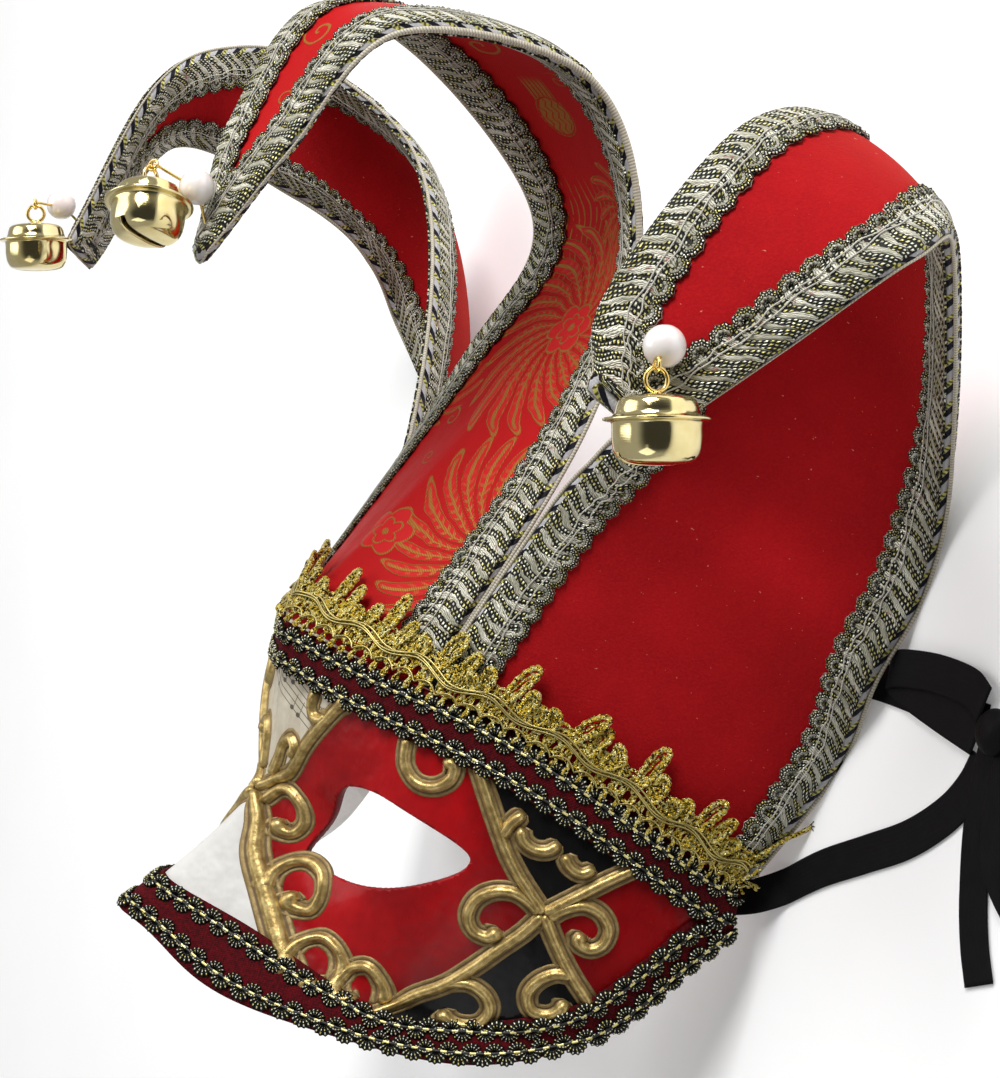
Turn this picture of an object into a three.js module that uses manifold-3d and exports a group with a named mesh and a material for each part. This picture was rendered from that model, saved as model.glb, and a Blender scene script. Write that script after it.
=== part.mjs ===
// A Venetian jester half mask, lying face up on a table: a moulded face with raised gold
// scrollwork, three cloth points with braided edges, pearls and jingle bells, and two tie ribbons.
// Millimetres. X runs to the wearer's left, Y to the top of the mask, Z up out of the face.
import * as THREE from "three";
import { mergeVertices } from "three/addons/utils/BufferGeometryUtils.js";
import Module from "manifold-3d";

const wasm = await Module();
wasm.setup();

// The face
const faceHalfWidth = 83; // middle to temple
const faceDepth = 84.5; // temples to brow
const planPower = 1.4; // 1 is an ellipse in plan, 2 a parabola
const roundMm = 85; // millimetres round the face for each radian of the plan
const templeAt = 133; // how far round the face ends, each side
const shellThickness = 2.5;
const faceColumns = 32;
const faceRows = 6; // the lowest lies under the rim braid
const noseHeight = 84.8; // Z of the bridge between the eyes
const noseRise = 24; // how far the tip stands out beyond the bridge
const noseSlope = 1.25;
const foreheadBulge = 6.2;
const leanTop = 0.05; // the share of its width and depth that the face loses 40 mm up, and down
const leanFoot = 0.04;
const leanReach = 40;
const socketDepth = 6;
const socketAt = [24, -3]; // the deepest place beside the nose
const socketSize = [14, 11];
const ridgeWidth = 3.6; // the raised scroll lines
const ridgeHeight = 1.7;
const ridgeSunk = 0.7; // how deep a line's foot goes into the shell

// The cloth points
const panelThickness = 2;
const hemInset = 1.8;
const pointRows = 16;
const braidWidth = 9;
const braidGap = 0.7;
const braidThickness = 1.2;
const cordRadius = 1.7;
const cordOffset = 2.5; // from a point's edge to its cord's middle
const tipInset = 0.03;
const footGap = 0.8; // from the face's top edge to the cloth
const braidClear = 0.3; // from the table to the lowest braid
const braidFoot = 0.012; // how far up the point the braid starts, and the cord
const cordFoot = 0.035;
const cordSides = 5;
const tipReach = 1.1; // how far the cord stands off at the tip and its corners, in cordOffsets
const cornerReach = 1.35;

// The trimmings round the face
const trimWidth = 11.5;
const trimThickness = 1.7;
const trimGap = 0.5;
const rimDrop = 4.5; // how far the rim braid hangs below the face
const laceBand = 9;
const laceHeight = 18;
const laceLift = 3.7; // over the points' middle surface, clear of their braid
const laceThickness = 1.1;
const laceFoot = 1.5;
const laceGroups = 21;

// The bells and pearls
const pearlRadius = 4;
const slitWidth = 1.6;
const slitLength = 16;
const slitDepth = 5.5;
const slitAt = -5.4; // the height of the slit's middle, from the bell's
const bellTop = 6.4;
const bellSides = 8;
const loopRadius = 2.2;
const wireRadius = 0.45;

// The ribbons
const ribbonWidth = 8.5;
const ribbonThickness = 0.5;
const tableZ = -8.2; // the table, in the face's frame
const knotRadii = [5, 5, 2.9];
const knotAt = [144, 71];

const colours = {
  redPaint: new THREE.MeshStandardMaterial({ color: 0xb3161b, roughness: 0.35, metalness: 0 }),
  redVelvet: new THREE.MeshStandardMaterial({ color: 0xa81018, roughness: 0.95, metalness: 0 }),
  redBrocade: new THREE.MeshStandardMaterial({ color: 0xc01c1c, roughness: 0.6, metalness: 0 }),
  silverBraid: new THREE.MeshStandardMaterial({ color: 0x85826f, roughness: 0.6, metalness: 0.3 }),
  twistedCord: new THREE.MeshStandardMaterial({ color: 0xb9b5a2, roughness: 0.6, metalness: 0.2 }),
  burgundyBraid: new THREE.MeshStandardMaterial({ color: 0x5b0f1c, roughness: 0.8, metalness: 0.1 }),
  goldLace: new THREE.MeshStandardMaterial({ color: 0xb08c22, roughness: 0.45, metalness: 0.7 }),
  pearl: new THREE.MeshStandardMaterial({ color: 0xf0ebe6, roughness: 0.25, metalness: 0 }),
  brass: new THREE.MeshStandardMaterial({ color: 0xcfb96a, roughness: 0.2, metalness: 1 }),
  blackSatin: new THREE.MeshStandardMaterial({ color: 0x0c0c0d, roughness: 0.4, metalness: 0 }),
};

const vector = (list) => new THREE.Vector3(...list);
const flatPlace = ([u, y]) => new THREE.Vector3(u, y, 0);
const mix = (a, b, part) => a + (b - a) * part;
const smoothMax = (a, b, blend) => (a + b + Math.hypot(a - b, blend)) / 2;
const bump = (distance, width) => Math.exp(-((distance / width) ** 2));

// How much narrower the face is at a height, where it leans in to the forehead and the cheeks.
function leanIn(y) {
  const rise = y / leanReach;
  return 1 - (y > 0 ? leanTop : leanFoot) * rise ** 2;
}

// A point of the face's outer surface: u is millimetres round from the middle, y is up the face.
function facePoint(u, y) {
  const turn = u / roundMm;
  const x = faceHalfWidth * leanIn(y) * Math.sin(turn);
  const plan = faceDepth * leanIn(y) * Math.abs(Math.cos(turn)) ** planPower;
  const beside = bump(Math.abs(x) - socketAt[0], socketSize[0]);
  const socket = socketDepth * beside * bump(y - socketAt[1], socketSize[1]);
  const bridge = noseHeight + noseRise * (Math.max(4 - y, 0) / 32) ** 1.3 - 0.1 * Math.max(y, 0);
  const nose = bridge - noseSlope * (Math.hypot(x, 4) - 4);
  const forehead = foreheadBulge * (Math.max(y, 0) / 38) ** 1.7 * bump(u, 28);
  return new THREE.Vector3(x, y, smoothMax(plan - socket, nose, 2.5) + forehead);
}

// The same point moved out along the surface's normal.
function faceAt(u, y, out) {
  const step = 0.5;
  const here = facePoint(u, y);
  const across = facePoint(u + step, y).sub(facePoint(u - step, y));
  const up = facePoint(u, y + step).sub(facePoint(u, y - step));
  return here.addScaledVector(across.cross(up).normalize(), out);
}

const topLine = (u) => 38 + 3 * bump(u, 25) - 26 * Math.abs(Math.sin(u / roundMm)) ** 5;
const rimLine = (u) => -41 + 45 * Math.abs(Math.sin(u / roundMm)) ** 15 + 11 * bump(u, 20);

// The rim braid's upper edge is nearest to the rim under the cheeks, where the braid folds round it.
const rimBraidTop = new THREE.CatmullRomCurve3(
  [
    [0, -24.5], [20, -29], [42, -35.3], [58, -38], [76, -31.5],
    [92, -22.5], [104, -9], [116, 4], [133, 9],
  ].map(flatPlace),
);
function rimTop(u) {
  let [low, high] = [0, 1];
  for (let k = 0; k < 20; k++) {
    const half = (low + high) / 2;
    if (rimBraidTop.getPoint(half).x < Math.abs(u)) low = half;
    else high = half;
  }
  return rimBraidTop.getPoint(low).y;
}

// Columns across the face, closer together over the nose. q runs from -1 to 1.
const acrossFace = (q) => templeAt * (0.45 * q + 0.55 * q ** 3);

// A closed body between two surfaces, side 0 and side 1, each a grid of columns by rows.
function slab(columns, rows, place) {
  const positions = [];
  const index = [];
  const at = (i, j, side) => (i * (rows + 1) + j) * 2 + side;
  const quad = (a, b, c, d) => index.push(a, b, c, a, c, d);
  for (let i = 0; i <= columns; i++)
    for (let j = 0; j <= rows; j++)
      for (const side of [0, 1]) positions.push(...place(i / columns, j / rows, side).toArray());
  for (let i = 0; i < columns; i++)
    for (let j = 0; j < rows; j++) {
      quad(at(i, j, 1), at(i + 1, j, 1), at(i + 1, j + 1, 1), at(i, j + 1, 1));
      quad(at(i, j, 0), at(i, j + 1, 0), at(i + 1, j + 1, 0), at(i + 1, j, 0));
    }
  for (let i = 0; i < columns; i++) {
    quad(at(i, 0, 0), at(i + 1, 0, 0), at(i + 1, 0, 1), at(i, 0, 1));
    quad(at(i, rows, 1), at(i + 1, rows, 1), at(i + 1, rows, 0), at(i, rows, 0));
  }
  for (let j = 0; j < rows; j++) {
    quad(at(0, j, 1), at(0, j + 1, 1), at(0, j + 1, 0), at(0, j, 0));
    quad(at(columns, j, 0), at(columns, j + 1, 0), at(columns, j + 1, 1), at(columns, j, 1));
  }
  return closedBody(positions, index);
}

// A closed body from a row of rings of points, with its two ends filled from their middles.
function loft(rings) {
  const positions = rings.flat().flatMap((p) => p.toArray());
  const index = [];
  const sides = rings[0].length;
  for (let i = 0; i + 1 < rings.length; i++)
    for (let k = 0; k < sides; k++) {
      const next = (k + 1) % sides;
      const [a, b, c, d] = [i * sides + k, i * sides + next, (i + 1) * sides + next, (i + 1) * sides + k];
      index.push(a, b, c, a, c, d);
    }
  for (const [ring, flip] of [[0, true], [rings.length - 1, false]]) {
    const middle = new THREE.Vector3();
    rings[ring].forEach((p) => middle.addScaledVector(p, 1 / sides));
    const centre = positions.length / 3;
    positions.push(...middle.toArray());
    for (let k = 0; k < sides; k++) {
      const [a, b] = [ring * sides + k, ring * sides + ((k + 1) % sides)];
      index.push(centre, ...(flip ? [b, a] : [a, b]));
    }
  }
  return closedBody(positions, index);
}

// A geometry whose faces point out, turned round if its volume comes out negative.
function closedBody(positions, index) {
  const corner = (k) => new THREE.Vector3().fromArray(positions, 3 * index[k]);
  let volume = 0;
  for (let k = 0; k < index.length; k += 3)
    volume += corner(k).dot(corner(k + 1).cross(corner(k + 2)));
  if (volume < 0)
    for (let k = 0; k < index.length; k += 3)
      [index[k + 1], index[k + 2]] = [index[k + 2], index[k + 1]];
  const geometry = new THREE.BufferGeometry();
  geometry.setAttribute("position", new THREE.Float32BufferAttribute(positions, 3));
  geometry.setIndex(index);
  return geometry;
}

function toSolid(geometry) {
  const bare = geometry.clone();
  bare.deleteAttribute("normal");
  bare.deleteAttribute("uv");
  const merged = mergeVertices(bare, 1e-4);
  return new wasm.Manifold(
    new wasm.Mesh({
      numProp: 3,
      vertProperties: merged.attributes.position.array,
      triVerts: new Uint32Array(merged.index.array),
    }),
  );
}

function toGeometry(solid) {
  const mesh = solid.getMesh();
  const geometry = new THREE.BufferGeometry();
  geometry.setAttribute("position", new THREE.BufferAttribute(new Float32Array(mesh.vertProperties), 3));
  geometry.setIndex(new THREE.BufferAttribute(new Uint32Array(mesh.triVerts), 1));
  return geometry;
}

// Places along a smooth open line through a few [u, y] guides.
function along(guides, steps) {
  const line = new THREE.CatmullRomCurve3(guides.map(flatPlace));
  return line.getPoints(steps).map((p) => [p.x, p.y]);
}

// Places round a curl: angles in degrees from +u towards +y, the radius shrinking as it turns.
function curl({ centre, radius, from, to, steps }) {
  return Array.from({ length: steps + 1 }, (_, k) => {
    const angle = THREE.MathUtils.degToRad(mix(from, to, k / steps));
    const reach = mix(radius[0], radius[1], k / steps);
    return [centre[0] + reach * Math.cos(angle), centre[1] + reach * Math.sin(angle)];
  });
}

// A raised line on the face, with a sharp crown and its foot sunk into the shell.
function ridge(places) {
  const half = ridgeWidth / 2;
  const section = [[-half, -ridgeSunk], [0, ridgeHeight], [half, -ridgeSunk]];
  const rings = places.map(([u, y], k) => {
    const before = places[Math.max(k - 1, 0)];
    const after = places[Math.min(k + 1, places.length - 1)];
    const run = new THREE.Vector2(after[0] - before[0], after[1] - before[1]).normalize();
    return section.map(([side, lift]) => faceAt(u - run.y * side, y + run.x * side, lift));
  });
  return loft(rings);
}

// The scrollwork of one half of the face, and the same mirrored on the other. Lines that run
// under a braid stop at its edge.
const stems = [
  [[0.5, -2], [5.6, -7], [9.6, -13.5], [17, -21], [26, -29]],
  [[1, -1], [8.9, 5.9], [18.1, 19.2], [20.6, 25]],
  [[53.8, -34.8], [62.7, -26.6], [72.6, -13.8], [79.5, -3.3], [82.9, -8.7], [91, -18.4]],
  [[59.8, 21], [66.6, 12], [72.4, 3.9], [79.5, -3.3], [90.7, 7.3]],
  [[30.3, -30.2], [31.1, -26.7], [35.4, -27.7], [38.2, -30.8]],
  [[50.6, -34.4], [44.6, -29.2], [41.5, -32.6]],
];
const curls = [
  { centre: [10, -2.6], radius: [5.2, 4.2], from: 180, to: -100, steps: 4 },
  { centre: [22.3, -17.3], radius: [6, 2.6], from: 205, to: -130, steps: 5 },
  { centre: [70.5, -7.2], radius: [6.6, 3.2], from: 50, to: 320, steps: 4 },
  { centre: [88.6, -4.4], radius: [6, 2.8], from: 150, to: -120, steps: 4 },
  { centre: [68, -29.8], radius: [5.4, 4.6], from: 150, to: -10, steps: 3 },
  { centre: [86.6, -21.6], radius: [6.4, 5.4], from: 60, to: 215, steps: 3 },
  { centre: [47.3, 22.6], radius: [6.2, 5.6], from: 165, to: 365, steps: 3 },
];
const eyeOutline = [
  [18, -10.5], [21, 0], [26.5, 9], [34, 11.4], [44, 10.2],
  [61.5, 4.6], [60.5, 1], [53, -5], [43, -9.8], [31, -12],
];
const eyeSides = 15;
const plugReach = 7; // how far a plug reaches in and out of the shell

// A plug the shape of an eye hole, right through the shell.
function eyePlug(hand) {
  const line = new THREE.CatmullRomCurve3(eyeOutline.map(flatPlace), true);
  const places = line.getPoints(eyeSides).slice(0, -1);
  const ring = (out) => places.map((p) => faceAt(hand * p.x, p.y, out));
  return loft([ring(-plugReach), ring(plugReach)]);
}

function maskFace() {
  let solid = toSolid(
    slab(faceColumns, faceRows, (a, b, side) => {
      const u = acrossFace(2 * a - 1);
      const rise = Math.max(0, (b * faceRows - 1) / (faceRows - 1));
      const y = b ? mix(rimTop(u), topLine(u), rise) : rimLine(u);
      return faceAt(u, y, side ? 0 : -shellThickness);
    }),
  );
  for (const hand of [1, -1]) {
    const lines = [...stems.map((guides) => along(guides, guides.length - 1)), ...curls.map(curl)];
    for (const places of lines)
      solid = solid.add(toSolid(ridge(places.map(([u, y]) => [hand * u, y]))));
    solid = solid.subtract(toSolid(eyePlug(hand)));
  }
  return toGeometry(solid);
}

// A cloth point between two wired edges. Each edge starts on the face's top line, at baseAt
// millimetres round the face, and passes through its guides to the tip.
class ClothPoint {
  constructor({ baseAt, edges, outward, columns, bow }) {
    Object.assign(this, { baseAt, outward, columns, bow, rows: pointRows });
    this.segments = edges[0].length;
    this.edges = edges.map((guides, k) => {
      const points = [this.footPlace(k * columns), ...guides.map(vector)];
      return new THREE.CatmullRomCurve3(points, false, "catmullrom", 0.5);
    });
    this.firstLength = this.edges.map((edge) => edge.points[0].distanceTo(edge.points[1]));
  }

  footPlace(k) {
    const u = mix(this.baseAt[0], this.baseAt[1], k / this.columns);
    return faceAt(u, topLine(u) + footGap, -shellThickness / 2);
  }

  // The cloth's own two edges, inside the line that its cords give the point.
  hems(s) {
    const [one, two] = this.edges.map((edge) => edge.getPoint(s));
    const inset = two.clone().sub(one).setLength(hemInset);
    return [one.add(inset), two.sub(inset)];
  }

  // s runs up the point and q across it. Near the foot the cloth follows the face's top line,
  // and further up it bows backwards, most at the middle of its width.
  column(s, k) {
    const q = k / this.columns;
    const [one, two] = this.hems(s);
    const foot = this.hems(0)[0].lerp(this.hems(0)[1], q);
    const fade = Math.max(0, 1 - s / 0.35) ** 2;
    const up = this.edges[0].getTangent(s).lerp(this.edges[1].getTangent(s), 0.5);
    const back = up.cross(two.clone().sub(one)).setLength(this.outward);
    const bow = this.bow * 4 * q * (1 - q) * Math.sin(Math.PI * Math.min(s / 0.8, 1)) ** 2;
    const middle = one.lerp(two, q).addScaledVector(this.footPlace(k).sub(foot), fade);
    return middle.addScaledVector(back, bow);
  }

  middle(s, q) {
    const k = Math.min(Math.floor(q * this.columns), this.columns - 1);
    return this.column(s, k).lerp(this.column(s, k + 1), q * this.columns - k);
  }

  across(s, q) {
    return this.middle(s, Math.min(q + 0.02, 1)).sub(this.middle(s, Math.max(q - 0.02, 0))).normalize();
  }

  at(s, q, out) {
    const up = this.middle(Math.min(s + 0.004, 1), q).sub(this.middle(Math.max(s - 0.004, 0), q));
    const normal = this.across(s, q).cross(up).normalize();
    return this.middle(s, q).addScaledVector(normal, out * this.outward);
  }

  width(s) {
    return this.hems(s)[0].distanceTo(this.hems(s)[1]);
  }

  // The place h millimetres above the foot.
  above(h, q, out) {
    return this.at(h / (this.segments * mix(this.firstLength[0], this.firstLength[1], q)), q, out);
  }

  panel() {
    return slab(this.rows, this.columns, (a, b, side) => this.at(a, b, (side - 0.5) * panelThickness));
  }

  // Braid up one edge, round the tip and down the other, on the face that side names.
  braid(side) {
    const last = 2 * this.rows + 1;
    return slab(last, 1, (a, b, layer) => {
      const column = Math.round(a * last);
      const back = column > this.rows;
      const rise = (back ? last - column : column) / this.rows;
      const s = Math.max(rise, braidFoot) - (rise === 1 ? tipInset * b : 0);
      const inward = b * Math.min(braidWidth / this.width(s), 0.46);
      const lift = panelThickness / 2 + braidGap + layer * braidThickness;
      return this.at(s, back ? 1 - inward : inward, side * lift);
    });
  }

  // The cord along both edges and round the tip, in step with the cloth's rows.
  cord() {
    const rings = [];
    const ring = (centre, outward, normal) =>
      rings.push(
        Array.from({ length: cordSides }, (_, k) => {
          const angle = (2 * Math.PI * k) / cordSides;
          return centre
            .clone()
            .addScaledVector(outward, cordRadius * Math.cos(angle))
            .addScaledVector(normal, cordRadius * Math.sin(angle));
        }),
      );
    const beside = (s, q) => {
      const outward = this.across(s, q).multiplyScalar(q ? 1 : -1);
      const normal = this.at(s, q, 1).sub(this.middle(s, q));
      ring(this.middle(s, q).addScaledVector(outward, cordOffset), outward, normal);
    };
    const rises = Array.from({ length: this.rows + 1 }, (_, k) => Math.max(k / this.rows, cordFoot));
    rises.forEach((s) => beside(s, 0));
    const onward = this.middle(1, 0.5).sub(this.middle(0.98, 0.5)).normalize();
    for (const q of [0, 0.5, 1]) {
      const sideways = this.across(1, q).multiplyScalar(2 * q - 1);
      const outward = sideways.add(onward).normalize();
      const normal = this.at(1, q, 1).sub(this.middle(1, q));
      const reach = cordOffset * (q === 0.5 ? tipReach : cornerReach);
      ring(this.middle(1, q).addScaledVector(outward, reach), outward, normal);
    }
    rises.reverse().forEach((s) => beside(s, 1));
    return loft(rings);
  }
}

const points = {
  centre: new ClothPoint({
    baseAt: [-37, 37],
    columns: 6,
    bow: 4,
    outward: 1,
    edges: [
      [[-30, 106, 43], [-22, 147, 34], [-20, 180, 74], [-15, 184, 109], [-12, 154, 124], [-4, 127, 129]],
      [[32, 105, 42], [26, 151, 35], [19, 184, 56], [17, 183, 103], [13, 152, 121], [5, 126, 131]],
    ],
  }),
  left: new ClothPoint({
    baseAt: [45.5, 127],
    columns: 6,
    bow: 7,
    outward: 1,
    edges: [
      [
        [54, 86, 54], [63, 102, 51], [72, 118, 48], [93, 163, 44],
        [110, 182, 49], [122, 175, 75], [126, 141, 96], [130, 126, 97],
      ],
      [
        [93, 47, -6.3], [102.7, 70.5, -3], [106, 93, -7.2], [115, 124, 2],
        [144, 165, 38], [161, 161, 61], [149, 139, 76], [137, 121, 87],
      ],
    ],
  }),
  right: new ClothPoint({
    baseAt: [-45.5, -127],
    columns: 6,
    bow: 9,
    outward: -1,
    edges: [
      [
        [-52, 69, 42], [-81, 122, 30], [-117, 156, 28], [-144, 172, 50],
        [-143, 171, 79], [-131, 156, 104], [-125, 113, 120],
      ],
      [
        [-103, 48, -6.1], [-124, 77, -4.7], [-145, 102, 4], [-146, 123, 23],
        [-145, 137, 51], [-146, 143, 91], [-131, 108, 112],
      ],
    ],
  }),
};

// The surface that the crown lace lies on: the three points, and straight across between them.
function crownAt(u, h, out) {
  const { centre, left, right } = points;
  const share = (point) => (u - point.baseAt[0]) / (point.baseAt[1] - point.baseAt[0]);
  if (Math.abs(u) <= centre.baseAt[1]) return centre.above(h, share(centre), out);
  const side = u > 0 ? left : right;
  if (Math.abs(u) >= Math.abs(side.baseAt[0])) return side.above(h, Math.min(share(side), 1), out);
  const part = (Math.abs(u) - centre.baseAt[1]) / (Math.abs(side.baseAt[0]) - centre.baseAt[1]);
  return centre.above(h, u > 0 ? 1 : 0, out).lerp(side.above(h, 0, out), part);
}

function crownLace() {
  const columns = 2 * laceGroups;
  const end = points.left.baseAt[1];
  return slab(columns, 1, (a, b, side) => {
    const column = Math.round(a * columns);
    const h = b ? (column % 2 ? laceHeight : laceBand) : laceFoot;
    return crownAt(mix(-end, end, a), h, laceLift + side * laceThickness);
  });
}

// A trimming on the face, between two heights that may change along it, in step with the face's columns.
function trim(columns, low, high) {
  return slab(columns, 1, (a, b, side) => {
    const u = acrossFace(((2 * a - 1) * columns) / faceColumns);
    return faceAt(u, b ? high(u) : low(u), trimGap + side * trimThickness);
  });
}

// A jingle bell with its slit at the foot: a domed top, a flange and a rounder cup below.
const bellOuter = [
  [0, -6.4], [5.6, -6], [8.2, -3.4], [8.2, 1.2], [9.9, 1.6],
  [9.9, 2.2], [8.2, 2.6], [7.2, 5.4], [0, bellTop],
];
const bellInner = [[0, -5.7], [5.2, -5.3], [7.5, -3], [7.5, 2.2], [6.6, 4.9], [0, 5.7]];
function bell() {
  const turned = (profile) => {
    const outline = profile.map(([radius, height]) => new THREE.Vector2(radius, height));
    return toSolid(new THREE.LatheGeometry(outline, bellSides));
  };
  const slit = new THREE.BoxGeometry(slitLength, slitDepth, slitWidth).translate(0, slitAt, 0);
  return toGeometry(turned(bellOuter).subtract(turned(bellInner)).subtract(toSolid(slit)));
}

// Where each pearl and bell hangs, and the way that each bell's top and slit point.
const hangings = {
  centre: { pearl: [1, 138.5, 135], bell: [4.7, 131, 146.2], up: [-0.48, 0.87, -0.07], slit: 115 },
  left: { pearl: [141.2, 134.9, 92.9], bell: [149, 120.6, 95], up: [-0.25, 0.96, 0.13], slit: 80 },
  right: { pearl: [-128.2, 119.9, 125], bell: [-120.5, 107.8, 131.8], up: [-0.22, 0.96, 0.16], slit: 60 },
};

// A flat ribbon through [x, y, height over the table, way across it in degrees from +X] guides.
function ribbon(guides, steps) {
  const line = new THREE.CatmullRomCurve3(
    guides.map(([x, y, lift]) => new THREE.Vector3(x, y, tableZ + lift)),
  );
  const turns = new THREE.CatmullRomCurve3(
    guides.map(([, , , turn]) => new THREE.Vector3(turn, 0, 0)),
  );
  return slab(steps, 1, (a, b, side) => {
    const turn = THREE.MathUtils.degToRad(turns.getPoint(a).x);
    const across = new THREE.Vector3(Math.cos(turn), Math.sin(turn), 0);
    const normal = line.getTangent(a).cross(across).normalize();
    return line
      .getPoint(a)
      .addScaledVector(across, (b - 0.5) * ribbonWidth)
      .addScaledVector(normal, (side - 0.5) * ribbonThickness);
  });
}

// Each ribbon starts inside a temple, and the two are tied beside the mask with one loop.
const flat = 0.35; // the ribbon's middle where it lies on the table
const ribbons = {
  left_ribbon: [
    [76.8, 7, 17, 85], [77.9, 7.2, 11, 85], [79.3, 8, 6.6, 90], [84, 11, 3.4, 105],
    [89, 15.5, flat, 115], [99, 23.5, flat, 120], [112, 32, flat, 122], [124, 40, flat, 125],
    [133, 48.5, flat, 135], [138.5, 57, flat, 155], [140.5, 64, flat, 170],
  ],
  right_ribbon: [
    [-76.8, 7, 17, 95], [-77.9, 7.2, 11, 95], [-77.5, 8, 6.6, 92], [-72, 11, 3, 100],
    [-64, 14.5, flat, 108], [-20, 32, flat, 110], [30, 50, flat, 110], [70, 62, flat, 105],
    [100, 68.5, flat, 97], [138, 71, flat, 92],
  ],
  ribbon_loop: [
    [138.5, 75, 2.6, 80], [133, 77, 2.2, 88], [121, 76.5, 2, 92], [109, 74, 2, 96],
    [106.5, 73, 2, 98], [105, 72.4, 1.6, 98], [106.5, 71.4, 1.2, 98], [112, 70.4, 1.2, 92],
    [125, 69, 1.2, 85], [137.5, 68, 1.2, 82],
  ],
  left_tail: [
    [143, 64.6, 1.2, 5], [144.5, 52, 1.1, 10], [148, 38, flat, 18],
    [152.5, 28, flat, 25], [157, 21, flat, 30],
  ],
  right_tail: [
    [149.2, 65.8, 2.1, 10], [150, 56, 2, 15], [153, 47, 2, 40],
    [161, 40, 1.2, 60], [172, 35, flat, 68],
  ],
};

// A piece with what would reach below a height taken off, which leaves it a small flat spot.
function standing(geometry, floor) {
  const [wide, deep] = [600, 20];
  const below = new THREE.BoxGeometry(wide, wide, deep).translate(0, 0, floor - deep / 2);
  return toGeometry(toSolid(geometry).subtract(toSolid(below)));
}

const mask = new THREE.Group();

function addPiece(name, geometry, material) {
  const mesh = new THREE.Mesh(geometry, material.clone());
  mesh.name = name;
  mask.add(mesh);
  return mesh;
}

addPiece("mask_face", maskFace(), colours.redPaint);
addPiece("centre_point", points.centre.panel(), colours.redBrocade);
addPiece("left_point", points.left.panel(), colours.redVelvet);
addPiece("right_point", points.right.panel(), colours.redVelvet);
for (const [name, point] of Object.entries(points)) {
  addPiece(name + "_front_braid", point.braid(1), colours.silverBraid);
  const backBraid = standing(point.braid(-1), tableZ + braidClear);
  addPiece(name + "_back_braid", backBraid, colours.silverBraid);
  addPiece(name + "_edge_cord", standing(point.cord(), tableZ), colours.twistedCord);
}
const foreheadFoot = (u) => topLine(u) - trimWidth;
const foreheadTop = (u) => topLine(u) - trimGap;
const rimBraidEdge = (u) => Math.min(rimTop(u), foreheadFoot(u) - trimGap);
addPiece("forehead_braid", trim(faceColumns - 2, foreheadFoot, foreheadTop), colours.burgundyBraid);
const rimHem = (u) => rimLine(u) - rimDrop * Math.sqrt(Math.cos(u / roundMm));
addPiece("rim_braid", trim(faceColumns, rimHem, rimBraidEdge), colours.burgundyBraid);
addPiece("crown_lace", crownLace(), colours.goldLace);

for (const [name, hanging] of Object.entries(hangings)) {
  const bellAt = vector(hanging.bell);
  const up = vector(hanging.up).normalize();
  const eye = bellAt.clone().addScaledVector(up, bellTop + loopRadius + wireRadius + braidGap);
  const pearl = addPiece(name + "_pearl", new THREE.SphereGeometry(pearlRadius, 8, 5), colours.pearl);
  pearl.position.copy(vector(hanging.pearl));
  const turn = new THREE.Quaternion().setFromUnitVectors(new THREE.Vector3(0, 1, 0), up);
  const bellMesh = addPiece(name + "_bell", bell(), colours.brass);
  bellMesh.position.copy(bellAt);
  bellMesh.quaternion.copy(turn);
  bellMesh.rotateY(THREE.MathUtils.degToRad(hanging.slit));
  const ring = new THREE.TorusGeometry(loopRadius, wireRadius, 4, 8);
  const loop = addPiece(name + "_wire_loop", ring, colours.brass);
  loop.position.copy(eye);
  loop.quaternion.copy(turn);
}

const cords = Object.entries(ribbons).map(([name, guides]) =>
  addPiece(name, ribbon(guides, guides.length - 1), colours.blackSatin),
);
const knot = new THREE.SphereGeometry(1, 8, 5).scale(...knotRadii);
cords.push(addPiece("ribbon_knot", knot, colours.blackSatin));
cords.at(-1).position.set(knotAt[0], knotAt[1], tableZ + knotRadii[2] + 0.1);

// The mask stands at the middle of its own box without the ribbons, on the table.
const box = new THREE.Box3();
mask.updateMatrixWorld(true);
mask.children.filter((mesh) => !cords.includes(mesh)).forEach((mesh) => box.expandByObject(mesh, true));
const middle = box.getCenter(new THREE.Vector3());
mask.position.set(-middle.x, -middle.y, -box.min.z);

export default mask;
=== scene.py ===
import math
import bpy
import numpy as np
from mathutils import Matrix


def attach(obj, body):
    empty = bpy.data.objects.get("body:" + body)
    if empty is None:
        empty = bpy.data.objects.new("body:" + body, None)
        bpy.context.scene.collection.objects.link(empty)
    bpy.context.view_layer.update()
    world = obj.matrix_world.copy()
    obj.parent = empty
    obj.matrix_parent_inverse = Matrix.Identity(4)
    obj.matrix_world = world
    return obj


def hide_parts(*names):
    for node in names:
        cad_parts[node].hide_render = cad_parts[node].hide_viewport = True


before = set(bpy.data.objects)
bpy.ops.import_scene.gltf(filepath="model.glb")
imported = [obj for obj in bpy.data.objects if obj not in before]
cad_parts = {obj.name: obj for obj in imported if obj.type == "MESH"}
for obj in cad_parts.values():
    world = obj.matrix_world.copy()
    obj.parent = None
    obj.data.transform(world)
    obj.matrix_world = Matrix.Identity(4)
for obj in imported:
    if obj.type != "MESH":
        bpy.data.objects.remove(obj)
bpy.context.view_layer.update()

# A Venetian jester half mask lying face up: papier-mache with gold scrollwork, three cloth points
# with braided edges, pearls and jingle bells, and black satin ties. Lengths here are millimetres
# in the face's own frame, X to the wearer's left, Y up the face and Z out of it.
toRow = np.array([-5.974, -73.355, 8.2])  # from the face's frame to the frame that the part stands in


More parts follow.
